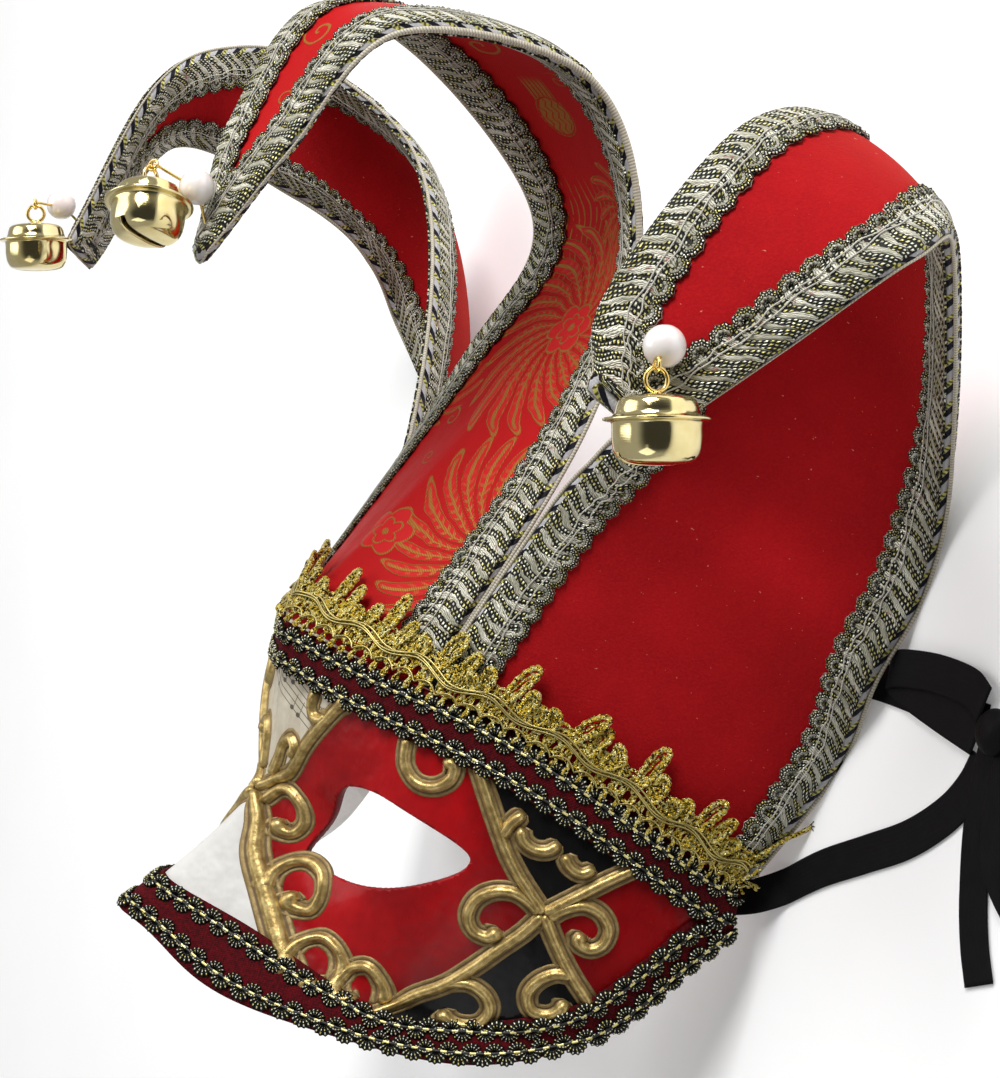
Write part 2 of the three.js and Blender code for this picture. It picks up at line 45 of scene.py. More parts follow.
# Shader maths: a socket whose arithmetic adds Math nodes
class Socket:
    def __init__(self, tree, link=None):
        self.tree = tree
        self.link = link

    # any node: its type, its settings, then its sockets' values or links
    def node(self, kind, settings=None, sockets=None, output=0):
        made = self.tree.nodes.new("ShaderNode" + kind)
        for key, value in (settings or {}).items():
            setattr(made, key, value)
        for key, value in (sockets or {}).items():
            if isinstance(value, Socket):
                self.tree.links.new(value.link, made.inputs[key])
            elif isinstance(value, tuple) and len(value) == 3 and made.inputs[key].type == "RGBA":
                made.inputs[key].default_value = (*value, 1)
            else:
                made.inputs[key].default_value = value
        return Socket(self.tree, made.outputs[output])

    def maths(self, operation, *values):
        return self.node("Math", {"operation": operation}, dict(enumerate(values)))

    def __add__(self, other):
        return self.maths("ADD", self, other)

    def __radd__(self, other):
        return self.maths("ADD", other, self)

    def __sub__(self, other):
        return self.maths("SUBTRACT", self, other)

    def __rsub__(self, other):
        return self.maths("SUBTRACT", other, self)

    def __mul__(self, other):
        return self.maths("MULTIPLY", self, other)

    def __rmul__(self, other):
        return self.maths("MULTIPLY", other, self)

    def __truediv__(self, other):
        return self.maths("DIVIDE", self, other)

    def __pow__(self, other):
        return self.maths("POWER", self, other)

    def __abs__(self):
        return self.maths("ABSOLUTE", self)


def sine(value):
    return value.maths("SINE", value)


def greater(one, two):
    return one.maths("MAXIMUM", one, two)


# How far a value is past the last whole number
def cycle(value):
    return value.maths("FRACT", value)


def whole(value):
    return value.maths("FLOOR", value)


# 0 below low, 1 above high, smooth between; low above high turns it over
def smooth(value, low, high):
    if low > high:
        return 1 - smooth(value, high, low)
    return value.node("MapRange", {"interpolation_type": "SMOOTHSTEP"}, {0: value, 1: low, 2: high})


# A colour from one to two
def tint(part, one, two):
    return part.node("Mix", {"data_type": "RGBA"}, {0: part, 6: one, 7: two}, 2)


def noise(places, scale, detail=2.0, roughness=0.5, stretch=(1, 1, 1)):
    moved = places.node("VectorMath", {"operation": "MULTIPLY"}, {0: places, 1: stretch})
    sockets = {"Vector": moved, "Scale": scale, "Detail": detail, "Roughness": roughness}
    return places.node("TexNoise", {}, sockets)


# Cells round scattered points: output 0 is the distance to a cell's point, 1 the cell's own colour
def cells(places, scale, output=0):
    sockets = {"Vector": places, "Scale": scale, "Randomness": 1.0}
    return places.node("TexVoronoi", {"feature": "F1"}, sockets, output)


# The three numbers of a vector, or of a colour
def axes(places):
    split = places.node("SeparateXYZ", {}, {0: places})
    outputs = split.link.node.outputs
    return Socket(places.tree, outputs[0]), Socket(places.tree, outputs[1]), Socket(places.tree, outputs[2])


# A material whose paint function gets the object's coordinates in millimetres, and its own places
# (the UV map, in millimetres along and across), and gives its shader's sockets.
def material(name, paint, **fixed):
    made = bpy.data.materials.new(name)
    made.use_nodes = True
    tree = made.node_tree
    shader = tree.nodes["Principled BSDF"]
    start = Socket(tree)
    where = start.node("TexCoord", output=3)
    where = start.node("VectorMath", {"operation": "SCALE"}, {0: where, 3: 1000.0})
    places = start.node("UVMap", {"uv_map": "places"})
    painted = {**fixed, **paint(where, places)}
    height = painted.pop("height", None)
    for key, value in painted.items():
        if isinstance(value, Socket):
            tree.links.new(value.link, shader.inputs[key])
        elif isinstance(value, tuple) and len(value) == 3:
            shader.inputs[key].default_value = (*value, 1)
        else:
            shader.inputs[key].default_value = value
    if height is not None:
        bump = start.node("Bump", {}, {"Height": height, "Distance": 0.001, "Strength": 1.0})
        tree.links.new(bump.link, shader.inputs["Normal"])
    return made


# Closed bodies through rings of points, each ring closed and each body's two ends filled with strips.
# rings is bodies x rings x sides x 3, or without the first for one body. places gives each corner's
# own (along, across), one side more than the ring has, and layers gives further maps like it. The
# sides from inside on take the second paint.
def closedLoft(name, rings, places=None, paint=None, lining=None, inside=None, layers=None):
    rings = rings if rings.ndim == 4 else rings[None]
    bodies, count, sides = rings.shape[:3]
    i, j = np.meshgrid(np.arange(count - 1), np.arange(sides), indexing="ij")
    here, beside = i * sides + j, i * sides + (j + 1) % sides
    quads = np.stack([here, here + sides, beside + sides, beside], -1).reshape(-1, 4)
    k = np.arange(sides // 2 - 1)
    strip = np.stack([k, k + 1, sides - 2 - k, sides - 1 - k], -1)
    faces = np.vstack([quads, strip, (count - 1) * sides + strip[:, ::-1]])
    corner, wide = i * (sides + 1) + j, sides + 1
    corners = np.vstack([np.stack([corner, corner + wide, corner + wide + 1, corner + 1], -1).reshape(-1, 4),
                         strip, (count - 1) * wide + strip[:, ::-1]])
    a, b, c, d = (rings[0].reshape(-1, 3)[faces[:, n]] for n in range(4))
    if np.einsum("ij,ij->", a, np.cross(b, c)) + np.einsum("ij,ij->", a, np.cross(c, d)) < 0:
        faces, corners = faces[:, ::-1], corners[:, ::-1]
    second = np.concatenate([j.ravel() >= (sides if inside is None else inside), np.zeros(2 * len(k), bool)])
    step = np.arange(bodies)[:, None, None]
    faces = (faces[None] + step * count * sides).reshape(-1, 4)
    corners = (corners[None] + step * count * wide).reshape(-1, 4)
    mesh = bpy.data.meshes.new(name)
    mesh.vertices.add(bodies * count * sides)
    stood = rings.reshape(-1, 3) + toRow
    stood[:, 2] = np.maximum(stood[:, 2], 0.02)  # what touches the table is pressed flat
    mesh.vertices.foreach_set("co", (stood / 1000).ravel())
    mesh.loops.add(faces.size)
    mesh.loops.foreach_set("vertex_index", faces.ravel())
    mesh.polygons.add(len(faces))
    mesh.polygons.foreach_set("loop_start", np.arange(len(faces)) * 4)
    mesh.polygons.foreach_set("use_smooth", np.ones(len(faces), bool))
    mesh.polygons.foreach_set("material_index", np.tile(second, bodies).astype(np.int32))
    mesh.update(calc_edges=True)
    maps = {"places": np.zeros((bodies, count, wide, 2)) if places is None else places, **(layers or {})}
    for layer, values in maps.items():
        own = mesh.uv_layers.new(name=layer)
        own.data.foreach_set("uv", np.ascontiguousarray(values).reshape(-1, 2)[corners.ravel()].ravel())
    made = bpy.data.objects.new(name, mesh)
    bpy.context.scene.collection.objects.link(made)
    for finish in filter(None, (paint, lining)):
        mesh.materials.append(finish)
    return made


# A body between an outer and an inner grid, whose inner side may have a lining of its own
def slab(name, outer, inner, places, paint, lining=None, layers=None):

    def around(grid):
        return np.concatenate([grid, np.flip(grid, -2), grid[..., :1, :]], -2)

    rings = np.concatenate([outer, np.flip(inner, -2)], -2)
    return closedLoft(name, rings, around(places), paint, lining, outer.shape[-2],
                      {layer: around(grid) for layer, grid in (layers or {}).items()})


# Each row's unit vector
def unit(vectors):
    return vectors / np.maximum(np.linalg.norm(vectors, axis=-1, keepdims=True), 1e-9)


# How far along a line of points each of them is
def lengths(line):
    return np.concatenate([[0], np.cumsum(np.linalg.norm(np.diff(line, axis=0), axis=1))])


# A smooth line through guides at t from 0 to 1, each span a cubic whose ends take their slope from
# the neighbours, evenly or by the square root of the gaps
def spline(guides, t, evenly=False):
    g = np.asarray(guides, float)
    g = np.vstack([2 * g[0] - g[1], g, 2 * g[-1] - g[-2]])
    at = np.clip(t, 0, 1) * (len(g) - 3)
    k = np.minimum(at.astype(int), len(g) - 4)
    w = (at - k)[..., None]
    a, b, c, d = (g[k + n] for n in range(4))
    gaps = np.ones(len(g) - 1) if evenly else np.sqrt(np.linalg.norm(np.diff(g, axis=0), axis=1))
    e, f, h = (np.maximum(gaps[k + n], 1e-6)[..., None] for n in range(3))
    start = ((b - a) / e - (c - a) / (e + f) + (c - b) / f) * f
    end = ((c - b) / f - (d - b) / (f + h) + (d - c) / h) * f
    return b + w * start + w**2 * (3 * (c - b) - 2 * start - end) + w**3 * (2 * (b - c) + start + end)


# The points of a smooth line, spaced evenly, step millimetres apart
def evenLine(guides, step):
    fine = spline(guides, np.linspace(0, 1, 60 * len(guides)))
    far = lengths(fine[:, :3])
    at = np.linspace(0, far[-1], max(int(far[-1] / step), 3) + 1)
    return np.stack([np.interp(at, far, fine[:, n]) for n in range(fine.shape[1])], -1)


# A section carried along a line: each ring is the line's point plus the section's two sides, one
# along sideways and one along outward
def carried(line, section, sideways, outward):
    return (line[..., None, :] + section[..., :1] * sideways[..., None, :]
            + section[..., 1:] * outward[..., None, :])


# A circle of radius 1
def roundSection(sides):
    turn = (np.arange(sides) + 0.5) * 2 * math.pi / sides
    return np.stack([np.cos(turn), np.sin(turn)], -1)


# (along, across) of every row and column
def mapOf(along, across):
    return np.stack(np.broadcast_arrays(along, across), -1)


# How far along its line and round its section each corner of a wire is
def wireMap(line, around):
    far = np.linalg.norm(np.diff(line, axis=-2), axis=-1).cumsum(-1)
    far = np.concatenate([np.zeros_like(far[..., :1]), far], -1)
    return mapOf(far[..., None], around)


# Round wires along lines, each ring kept from twisting by a way up that is never along the line;
# the last few rings of each end shrink to close it. The radius is one number or one for each ring.
def wire(name, line, radius, paint, sides, up=(0.13, 0.21, 0.97)):
    run = unit(np.gradient(line, axis=-2))
    side = unit(np.cross(run, np.asarray(up, float)))
    count = line.shape[-2]
    ends = np.minimum(1, 0.35 + 0.5 * np.minimum(np.arange(count), np.arange(count)[::-1]))
    section = roundSection(sides) * (ends * radius)[:, None, None]
    around = np.linspace(0, 2 * math.pi * np.max(radius), sides + 1)
    return closedLoft(name, carried(line, section, side, np.cross(side, run)), wireMap(line, around), paint)


# The map of a ball of so many rings and sides, high millimetres over it and wide round it
def ballMap(rings, sides, high, wide):
    return mapOf(np.linspace(0, high, rings)[:, None], np.linspace(0, wide, sides + 1))


def join(name, pieces):
    with bpy.context.temp_override(active_object=pieces[0], selected_editable_objects=pieces):
        bpy.ops.object.join()
    pieces[0].name = name
    return pieces[0]


# One piece of the mask, its CAD nodes and its slot, which is not used
def piece(made, slot, *nodes):
    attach(made, "root")
    if nodes:
        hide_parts(*nodes)
    return made


# The camera: where the photograph was taken from
cameraAt = {"position": (498.9, 161.8, 317.4), "back": (0.861, 0.160, 0.483),
            "right": (0.443, 0.231, -0.866), "lens": 83.58, "sensor": 36}

cameraData = bpy.data.cameras.new("camera")
cameraData.lens = cameraAt["lens"]
cameraData.sensor_width = cameraAt["sensor"]
cameraData.sensor_fit = "HORIZONTAL"
cameraData.clip_start = 0.01
camera = bpy.data.objects.new("camera", cameraData)
bpy.context.scene.collection.objects.link(camera)
back = unit(np.array(cameraAt["back"]))
right = unit(np.array(cameraAt["right"]) - np.dot(cameraAt["right"], back) * back)
turned = Matrix(np.stack([right, np.cross(back, right), back], 1).tolist()).to_4x4()
turned.translation = ((np.array(cameraAt["position"]) + toRow) / 1000).tolist()
camera.matrix_world = turned
bpy.context.scene.camera = camera


# The ribbons: [x, y, height over the table, way across in degrees from +X], one flat satin tie from
# each temple, tied beside the mask in a bow with one loop
flat = 0.35  # the height of a ribbon that lies on the table
ribbonLook = {"width": 8.5, "thickness": 0.5, "table": -8.2, "ribs": 1.1, "columns": 19,
              "color": (0.003, 0.003, 0.0035), "sheen": (0.006, 0.006, 0.007)}
ribbonRoutes = {
    "left_ribbon": [
        [76.8, 7, 17, 85], [77.9, 7.2, 11, 85], [79.3, 8, 6.6, 90], [84, 11, 3.4, 105],
        [89, 15.5, flat, 115], [99, 23.5, flat, 120], [112, 32, flat, 122], [124, 40, flat, 125],
        [133, 48.5, flat, 135], [138.5, 57, flat, 155], [140.5, 64, flat, 170],
    ],
    "right_ribbon": [
        [-76.8, 7, 17, 95], [-77.9, 7.2, 11, 95], [-77.5, 8, 6.6, 92], [-72, 11, 3, 100],
        [-64, 14.5, flat, 108], [-20, 32, flat, 110], [30, 50, flat, 110], [70, 62, flat, 105],
        [100, 68.5, flat, 97], [138, 71, flat, 92],
    ],
    "ribbon_loop": [
        [138.5, 75, 2.6, 80], [133, 77, 2.2, 88], [121, 76.5, 2, 92], [109, 74, 2, 96],
        [106.5, 73, 2, 98], [105, 72.4, 1.6, 98], [106.5, 71.4, 1.2, 98], [112, 70.4, 1.2, 92],
        [125, 69, 1.2, 85], [137.5, 68, 1.2, 82],
    ],
    "left_tail": [
        [143.4, 70.6, 1.6, 5], [143, 64.6, 1.2, 5], [144.5, 52, 1.1, 10], [148, 38, flat, 18],
        [152.5, 28, flat, 25], [157, 21, flat, 30],
    ],
    "right_tail": [
        [144.6, 75.4, 2.4, 20], [149.2, 65.8, 2.1, 10], [150, 56, 2, 15], [153, 47, 2, 40],
        [161, 40, 1.2, 60], [172, 35, flat, 68],
    ],
}


# Black satin: fine ribs along the tie, and soft slubs that vary its gloss
def paintSatin(where, places):
    _, across, _ = axes(places)
    ribs = sine(across * (2 * math.pi / ribbonLook["ribs"])) * 0.008
    slubs = noise(places, 1.4, 3.0, stretch=(0.2, 2.5, 1))
    fine = noise(where, 0.25, 2.0)
    return {"Base Color": tint(fine, ribbonLook["color"], ribbonLook["sheen"]),
            "Roughness": 0.5 + slubs * 0.14, "height": ribs + slubs * 0.05}


satin = material("blackSatin", paintSatin, **{"Specular IOR Level": 0.08})


# A ribbon is a flat section carried along its route, its middle a little thinner than the selvedges
# and its two edges rounded
def ribbonPiece(name, guides):
    line = evenLine(guides, 1.0)
    middle = np.stack([line[:, 0], line[:, 1], np.maximum(line[:, 2], flat) + ribbonLook["table"]], -1)
    turn = np.radians(line[:, 3])
    sideways = np.stack([np.cos(turn), np.sin(turn), np.zeros(len(turn))], -1)
    outward = unit(np.cross(np.gradient(middle, axis=0), sideways))
    share = np.linspace(-1, 1, ribbonLook["columns"])
    half = ribbonLook["thickness"] / 2
    edge = half * (0.72 + 0.28 * np.abs(share) ** 6) * np.minimum(1, (1.02 - np.abs(share)) * 30)
    face = np.stack([share * ribbonLook["width"] / 2, edge], -1)
    under = np.stack([share * ribbonLook["width"] / 2, -edge], -1)
    far = lengths(middle)
    places = mapOf(far[:, None], share * ribbonLook["width"] / 2)
    made = slab(name + "Satin", carried(middle, face, sideways, outward),
                carried(middle, under, sideways, outward), places, satin)
    piece(made, "ribbon", name)
    return made, [tuple(p) for p in (middle + toRow) / 1000], far[-1] / 1000


ribbonPieces = {name: ribbonPiece(name, guides) for name, guides in ribbonRoutes.items()}
knotSize = {"at": (144, 71, -5.2), "radii": (5, 5, 2.9), "rings": 40, "sides": 48, "around": (12, 25)}


# The knot: one band wound over itself, a squashed ball whose surface has two folds across it
def knotPiece():
    rings, sides = knotSize["rings"], knotSize["sides"]
    u, v = np.meshgrid(np.linspace(0, math.pi, rings), np.arange(sides) * 2 * math.pi / sides, indexing="ij")
    folds = 1 - 0.09 * np.abs(np.sin(2.5 * v + 0.8 * np.cos(u))) * np.sin(u)
    x, y, z = np.sin(u) * np.cos(v) * folds, np.cos(u), np.sin(u) * np.sin(v) * folds
    ball = np.stack([x, y, z], -1) * np.array(knotSize["radii"]) + np.array(knotSize["at"])
    return closedLoft("knotSatin", ball, ballMap(rings, sides, *knotSize["around"]), satin)


knot = piece(knotPiece(), "ribbon", "ribbon_knot")
for name, (made, path, length) in ribbonPieces.items():
    [knot] if name == "left_ribbon" else []
bpy.context.scene.view_settings.view_transform = "Standard"
print("camera and ribbons made")


# The face: u is millimetres round from the middle, y is up the face
faceShape = {"halfWidth": 83, "depth": 84.5, "planPower": 1.4, "round": 85, "temple": 133, "wall": 2.5,
             "seam": 0.9, "columns": 240, "rows": 84, "eyeSteps": 216, "plug": 7}
insidePaint = {"paper": (0.88, 0.86, 0.83), "worn": (0.76, 0.74, 0.70), "cut": (0.10, 0.002, 0.003),
               "patch": 0.07}
facePaint = {"red": (0.36, 0.0055, 0.0075), "deepRed": (0.20, 0.003, 0.0045),
             "shadeRed": (0.13, 0.002, 0.0035), "wornRed": (0.62, 0.16, 0.10),
             "white": (0.585, 0.575, 0.55), "dullWhite": (0.56, 0.55, 0.525),
             "cream": (0.44, 0.39, 0.30), "paleCream": (0.54, 0.49, 0.395), "black": (0.006, 0.0055, 0.0055),
             "ink": (0.03, 0.025, 0.02), "staffAt": (-4.4, 25.7), "staffTurn": (0.94, 0.342),
             "staffGap": 1.72, "notesEvery": 3.1}


def bump(distance, width):
    return np.exp(-(distance / width) ** 2)


# The face's features: its eye sockets, the nose with its bridge and slope, and the forehead
features = {"lean": (0.04, 0.05), "socket": 6, "socketAt": (24, -3), "socketSize": (14, 11),
            "bridge": 84.8, "noseRise": 24, "noseTop": 4, "noseLength": 32, "nosePower": 1.3, "flank": 1.25,
            "ridge": 4, "blend": 2.5, "forehead": 6.2, "foreheadPower": 1.7, "foreheadWidth": 28}


# Half an ellipse in plan, drawn out by planPower and leaning in above and below, with a hollow
# beside the nose, the nose as the smooth larger of the two, and a forehead that swells in the middle
def facePoint(u, y):
    turn = u / faceShape["round"]
    lean = 1 - np.where(y > 0, features["lean"][1], features["lean"][0]) * (y / 40) ** 2
    x = faceShape["halfWidth"] * lean * np.sin(turn)
    plan = faceShape["depth"] * lean * np.abs(np.cos(turn)) ** faceShape["planPower"]
    at, size, above = features["socketAt"], features["socketSize"], np.maximum(y, 0)
    socket = features["socket"] * bump(np.abs(x) - at[0], size[0]) * bump(y - at[1], size[1])
    below = np.maximum(features["noseTop"] - y, 0) / features["noseLength"]
    bridge = features["bridge"] + features["noseRise"] * below ** features["nosePower"] - 0.1 * above
    nose = bridge - features["flank"] * (np.hypot(x, features["ridge"]) - features["ridge"])
    larger = (plan - socket + nose + np.hypot(plan - socket - nose, features["blend"])) / 2
    forehead = features["forehead"] * (above / 38) ** features["foreheadPower"]
    return np.stack([x, y, larger + forehead * bump(u, features["foreheadWidth"])], -1)


# The same point moved out along the surface's normal
def faceAt(u, y, out):
    u, y, out = np.broadcast_arrays(np.asarray(u, float), np.asarray(y, float), np.asarray(out, float))
    across = facePoint(u + 0.5, y) - facePoint(u - 0.5, y)
    up = facePoint(u, y + 0.5) - facePoint(u, y - 0.5)
    return facePoint(u, y) + unit(np.cross(across, up)) * out[..., None]


# The mask's top and rim: level, with a peak and a notch for the nose in the middle, and drawn in at
# the temples by a high power of the sine
faceEdges = {"top": 38, "peak": 3, "peakWidth": 25, "topDrop": 26, "topPower": 5,
             "rim": -41, "notch": 11, "notchWidth": 20, "rimRise": 45, "rimPower": 15}


def topLine(u):
    drop = faceEdges["topDrop"] * np.abs(np.sin(u / faceShape["round"])) ** faceEdges["topPower"]
    return faceEdges["top"] + faceEdges["peak"] * bump(u, faceEdges["peakWidth"]) - drop


def rimLine(u):
    rise = faceEdges["rimRise"] * np.abs(np.sin(u / faceShape["round"])) ** faceEdges["rimPower"]
    return faceEdges["rim"] + rise + faceEdges["notch"] * bump(u, faceEdges["notchWidth"])


# How far each point is inside a closed outline, and outside it below zero
def insideBy(outline, u, y):
    ends = np.array(outline, float)
    start, run = ends, np.roll(ends, -1, 0) - ends
    du, dy = u[..., None] - start[:, 0], y[..., None] - start[:, 1]
    share = np.clip((du * run[:, 0] + dy * run[:, 1]) / (run ** 2).sum(1), 0, 1)
    gap = np.hypot(du - share * run[:, 0], dy - share * run[:, 1]).min(-1)
    above = (start[:, 1] <= y[..., None]) != (start[:, 1] + run[:, 1] <= y[..., None])
    slope = np.where(np.abs(run[:, 1]) < 1e-9, 1e-9, run[:, 1])
    crossings = (above & (du < dy / slope * run[:, 0])).sum(-1)
    return np.where(crossings % 2 == 1, gap, -gap)


noseArea = [(0, -0.5), (5.6, -7), (9.6, -13.5), (17, -21.1), (28, -31.1), (34, -36), (40, -50), (0, -50)]
patchArea = [(0, -1), (8.9, 5.9), (14.3, 15.6), (18.5, 22.1), (23.8, 28.9), (28, 50), (0, 50)]
blackAreas = [
    [(79.5, -3.3), (72.4, 3.9), (66.6, 12), (61.2, 20.6), (52, 40), (95, 30), (96, 12), (90.7, 7.3)],
    [(79.5, -3.3), (75.9, -10), (72.6, -13.8), (62.7, -26.6), (54.9, -32.4), (45, -50), (110, -50),
     (99, -27), (94.3, -21.2), (88.1, -15.6), (82.9, -8.7)],
]


# Lacquered paint over papier-mache: a light and a black area where the areas map is over zero, and
# staves of music in the patch: five lines with round notes and their stems, at even steps
def paintFace(where, places):
    u, y, _ = axes(places)
    light, black, _ = axes(places.node("UVMap", {"uv_map": "areas"}))
    wobble = (noise(where, 0.35, 3.0) - 0.5) * 0.5
    blotch = noise(where, 0.035, 4.0, 0.6)
    brushed = noise(where, 0.22, 3.0, 0.6, (1, 0.35, 1))
    red = tint(smooth(blotch, 0.35, 0.7), facePaint["deepRed"], facePaint["red"])
    # painted shade: the red is darkened towards the temples
    red = tint(smooth(abs(u), 80.0, 100.0) * 0.45, red, facePaint["deepRed"])
    besideGold = smooth(greater(light, black), -7.5, -2.0)
    red = tint(besideGold * 0.55, red, facePaint["shadeRed"])
    worn = smooth(noise(where, 0.5, 5.0, 0.7), 0.70, 0.76)
    red = tint(worn * 0.35, red, facePaint["wornRed"])
    patch = smooth(y, -2.5, -1.0)
    pearl = tint(smooth(brushed, 0.40, 0.66), facePaint["dullWhite"], facePaint["white"])
    paper = tint(smooth(brushed, 0.3, 0.7), facePaint["cream"], facePaint["paleCream"])
    across, up = u - facePaint["staffAt"][0], y - facePaint["staffAt"][1]
    level, tilt = facePaint["staffTurn"]
    along = across * level - up * tilt
    rise = across * tilt + up * level
    gap, every = facePaint["staffGap"], facePaint["notesEvery"]
    line = abs(cycle(rise / gap + 0.5) - 0.5) * gap
    onStaff = smooth(rise, -0.25, -0.1) * smooth(rise, 4 * gap + 0.25, 4 * gap + 0.1)
    staves = smooth(line, 0.17, 0.09) * onStaff
    count = along / every
    height = whole(cycle(sine(whole(count) * 12.7) * 41.3) * 4.0) * gap  # each note is on one of four lines
    beside = (cycle(count) - 0.5) * every
    over = rise - height
    head = ((beside - over * 0.3) ** 2 * 0.7 + over ** 2) ** 0.5
    stem = smooth(abs(beside - 0.45), 0.16, 0.08) * smooth(over, 0.0, 0.1) * smooth(over, 4.2, 4.1)
    inked = greater(greater(staves, smooth(head, 0.72, 0.58)), stem * 0.9)
    paper = tint(inked * 0.85, paper, facePaint["ink"])
    pale = tint(patch, pearl, paper)
    color = tint(smooth(light + wobble, -0.15, 0.15), red, pale)
    color = tint(smooth(black + wobble, -0.15, 0.15), color, facePaint["black"])
    return {"Base Color": color, "Roughness": 0.24 + smooth(brushed, 0.3, 0.8) * 0.16 + worn * 0.1,
            "Coat Weight": 0.12 - patch * smooth(light, -0.1, 0.1) * 0.1,
            "height": blotch * 1.6 + brushed * 0.12 + worn * 0.05}


# Bare papier-mache inside: torn white paper laid in patches
def paintInside(where, places):
    torn = cells(where, insidePaint["patch"], 1)
    fibre = noise(where, 0.8, 4.0, 0.65)
    layer = noise(torn, 3.0)
    return {"Base Color": tint(smooth(layer, 0.3, 0.7), insidePaint["worn"], insidePaint["paper"]),
            "height": layer * 0.5 + fibre * 0.25}


# The cut edge of the eye holes, gone over in dark red
def paintCutEdge(where, places):
    fibre = noise(where, 0.8, 4.0, 0.65)
    return {"Base Color": tint(smooth(fibre, 0.35, 0.65), insidePaint["cut"], facePaint["deepRed"]),
            "Roughness": 0.4 + fibre * 0.2, "height": fibre * 0.2}


facePaintwork = material("facePaint", paintFace, **{"Coat Roughness": 0.1, "Specular IOR Level": 0.1})
bareInside = material("papierMache", paintInside, Roughness=0.85)
cutEdge = material("cutEdge", paintCutEdge, **{"Specular IOR Level": 0.15})


def maskFace():
    q = np.linspace(-1, 1, faceShape["columns"] + 1)
    u = (faceShape["temple"] * (0.62 * q + 0.38 * q ** 3))[:, None]
    top = topLine(u) + faceShape["seam"]
    y = rimLine(u) + (top - rimLine(u)) * np.linspace(0, 1, faceShape["rows"] + 1)
    u = np.broadcast_to(u, y.shape)
    light = np.maximum(insideBy(noseArea, np.abs(u), y), insideBy(patchArea, np.abs(u), y))
    black = np.maximum(insideBy(blackAreas[0], np.abs(u), y), insideBy(blackAreas[1], np.abs(u), y))
    middle = np.abs(u) < 1.5  # the two halves of the light areas meet along the middle
    light = np.where(middle & (light > -2), np.maximum(light, 0.5), light)
    return slab("maskFace", faceAt(u, y, 0), faceAt(u, y, -faceShape["wall"]), np.stack([u, y], -1),
                facePaintwork, bareInside, {"areas": np.stack([light, black], -1)})


eyeOutline = [[18, -10.5], [21, 0], [26.5, 9], [34, 11.4], [44, 10.2],
              [61.5, 4.6], [60.5, 1], [53, -5], [43, -9.8], [31, -12]]


# An eye's plug: the outline, closed smoothly by going round it three times and taking the middle
# one, carried from outside the wall to inside it
def eyePlug(hand):
    fine = spline(np.array(eyeOutline * 3, float), np.linspace(0, 1, faceShape["eyeSteps"] + 1))
    third = faceShape["eyeSteps"] // 3
    ring = fine[third:2 * third]
    outs = np.array([[faceShape["plug"]], [-faceShape["plug"]]])
    return closedLoft("eyePlug", faceAt(hand * ring[None, :, 0], ring[None, :, 1], outs), paint=cutEdge)


def cutEyes(made):
    for hand in (1, -1):
        plug = eyePlug(hand)
        cut = made.modifiers.new("eye", "BOOLEAN")
        cut.operation = "DIFFERENCE"
        cut.solver = "EXACT"
        cut.material_mode = "TRANSFER"
        cut.object = plug
        cutThrough = made.evaluated_get(bpy.context.evaluated_depsgraph_get())
        opened = bpy.data.meshes.new_from_object(cutThrough)
        made.modifiers.clear()
        made.data = opened
        bpy.data.objects.remove(plug)
    return made


face = piece(cutEyes(maskFace()), "face_paint", "mask_face")
print("face made")


